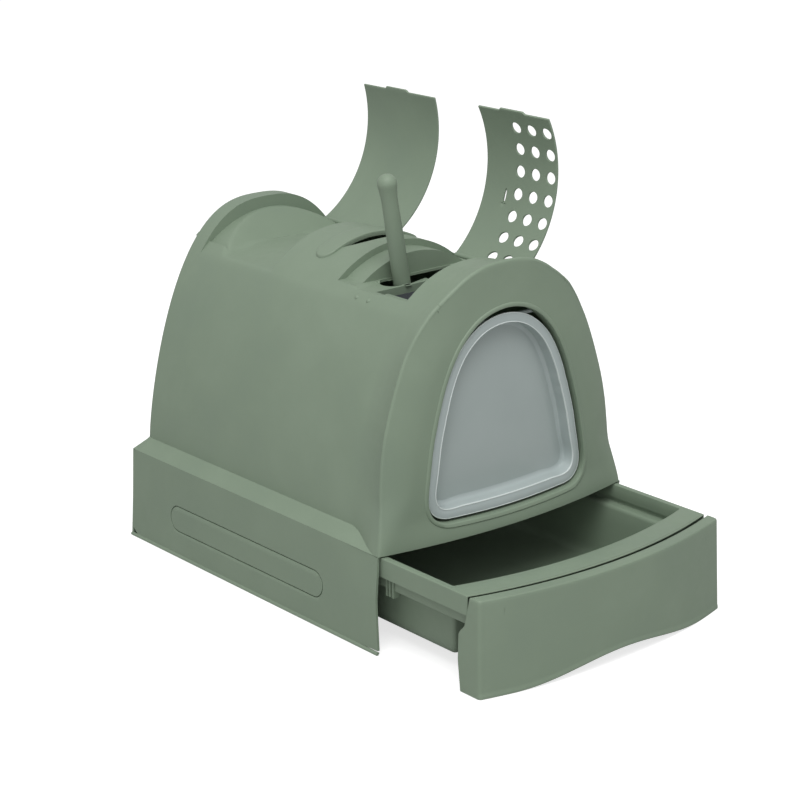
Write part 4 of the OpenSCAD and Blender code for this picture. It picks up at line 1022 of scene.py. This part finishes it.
def bump(mat, height, strength, depth):
    """Normal of a relief whose depth is in mm."""
    values = {"Strength": strength, "Distance": depth * MM}
    return add(mat, "ShaderNodeBump", values, {"Height": height}).outputs["Normal"]


def moulded_polypropylene(name, mid, low, high):
    """Injection-moulded polypropylene with a fine spark-eroded texture: an even satin sheen, a faint
    cloudiness in the colour, and rubbed patches that shine a little more."""
    mat, shader, place = new_material(name)
    grain, cloud, wear = (noise(mat, place, *v) for v in ((1.4, 2.0), (90, 3.0, 0.55), (22, 5.0, 0.6)))
    fill(mat, shader, {"IOR": PLASTIC_IOR, "Specular IOR Level": 0.4}, {
        "Base Color": colours(mat, cloud, (0.3, low), (0.7, high), [(0.5, mid)]),
        "Roughness": mapped(mat, wear, 0.35, 0.65, 0.46, 0.56),
        "Normal": bump(mat, grain, 0.25, 0.06)})
    return mat


def smoke_clear_acrylic(name, low, high, alpha):
    """Smoke-clear moulded acrylic: a pale grey veil that lets some of the dark room behind show through,
    under a glossy skin with light handling haze."""
    mat, shader, place = new_material(name)
    haze, scuff = noise(mat, place, 60, 4.0), noise(mat, place, 9, 6.0, 0.65)
    ends = {"data_type": "RGBA", 6: linear(low), 7: linear(high)}  # 6 and 7 are the colours A and B
    fill(mat, shader, {"Alpha": alpha, "IOR": PLASTIC_IOR}, {
        "Base Color": add(mat, "ShaderNodeMix", ends, {"Factor": haze}).outputs[2],
        "Roughness": mapped(mat, scuff, 0.35, 0.7, 0.1, 0.2)})
    return mat


def carbon_felt(name):
    """Needled felt with carbon: matt, very dark blue grey, with loose fibres that catch a little light."""
    mat, shader, place = new_material(name)
    fibre = noise(mat, place, 2.2, 6.0, 0.7)
    fill(mat, shader, {"Sheen Weight": 0.05}, {
        "Base Color": colours(mat, fibre, (0.35, "#14191E"), (0.75, "#262D34")),
        "Roughness": mapped(mat, fibre, 0.0, 1.0, 0.85, 1.0),
        "Normal": bump(mat, fibre, 0.8, 0.5)})
    return mat


def path_share(owner, value):
    """Value for camera rays and for rays through clear plastic, and 0 for all others."""
    path = add(owner, "ShaderNodeLightPath").outputs
    seen = add(owner, "ShaderNodeMath", {"operation": "MAXIMUM"},
               {0: path["Is Camera Ray"], 1: path["Is Transmission Ray"]})
    part = add(owner, "ShaderNodeMath", {"operation": "MULTIPLY", 1: value}, {0: seen.outputs[0]})
    return part.outputs[0]


def build_stage():
    """White floor that keeps a soft shadow of the object, and a white world."""
    bpy.ops.mesh.primitive_plane_add(size=14)
    floor = bpy.context.object
    floor.name = "floor"
    mat = bpy.data.materials.new("studio_paper")
    mat.use_nodes = True
    white = (1, 1, 1, 1)
    paper = {"Base Color": linear("#C4C4C4"), "Roughness": 0.9, "Specular IOR Level": 0.0, "Emission Color": white}
    fill(mat, mat.node_tree.nodes["Principled BSDF"], paper, {"Emission Strength": path_share(mat, FLOOR_WHITE)})
    floor.data.materials.append(mat)
    world = bpy.data.worlds.new("studio")
    bpy.context.scene.world = world
    world.use_nodes = True
    total = add(world, "ShaderNodeMath", {1: SKY_LIGHT}, {0: path_share(world, 1.0 - SKY_LIGHT)})
    fill(world, world.node_tree.nodes["Background"], {"Color": white}, {"Strength": total.outputs[0]})


def area_light(name, place, target, size, power):
    """Square soft lamp at a place in metres that looks at a target."""
    data = bpy.data.lights.new(name, "AREA")
    data.size, data.energy = size, power
    lamp = in_scene(name, data)
    lamp.location = place
    lamp.rotation_euler = (Vector(target) - Vector(place)).to_track_quat("-Z", "Y").to_euler()


def build_camera():
    """Camera worked out from the photograph: its turn, height angle and roll in degrees, the rest in metres."""
    azimuth, elevation, roll = math.radians(-40.517), math.radians(17.896), math.radians(-0.075)
    target, distance, focal_pixels = Vector((0.0125, -0.0346, 0.2071)), 2.6546, 2155.2
    level = math.cos(elevation)
    back = Vector((math.sin(azimuth) * level, -math.cos(azimuth) * level, math.sin(elevation)))
    data = bpy.data.cameras.new("camera")
    data.lens = data.sensor_width * focal_pixels / PHOTO_SIZE
    camera = in_scene("camera", data)
    camera.location = target + back * distance
    camera.rotation_euler = back.to_track_quat("Z", "Y").to_euler()
    camera.rotation_euler.rotate_axis("Z", roll)
    bpy.context.scene.camera = camera


def main():
    """Builds the pieces, their finishes, the stage and the camera."""
    sage = moulded_polypropylene("sage_polypropylene", "#7D8D7A", "#7B8B79", "#80907D")
    for build in (build_hood, build_handle, build_rear_lid, build_front_lid, build_tray, build_drawer_front,
                  build_scoop):
        build(sage)
    # The third, lighter acrylic is a painted highlight for the thin edge strips of the door.
    build_door(smoke_clear_acrylic("smoke_acrylic", "#AFBAB9", "#B8C3C2", 0.9),
               smoke_clear_acrylic("smoke_acrylic_pane", "#ABB6B4", "#B4BFBD", 0.82),
               smoke_clear_acrylic("acrylic_painted_highlight_edge", "#D5DEDC", "#DCE4E2", 0.95))
    build_filter(carbon_felt("carbon_felt"))
    frame_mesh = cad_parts["base_frame"].data
    frame_mesh.materials.clear()
    frame_mesh.materials.append(sage)
    build_stage()
    area_light("key", (-1.0, -1.2, 3.1), (0, 0, 0.25), 2.2, 72)
    area_light("fill", (-2.6, -2.4, 1.2), (0, 0, 0.2), 2.0, 8)
    build_camera()
    bpy.context.scene.view_settings.view_transform = "Standard"


main()
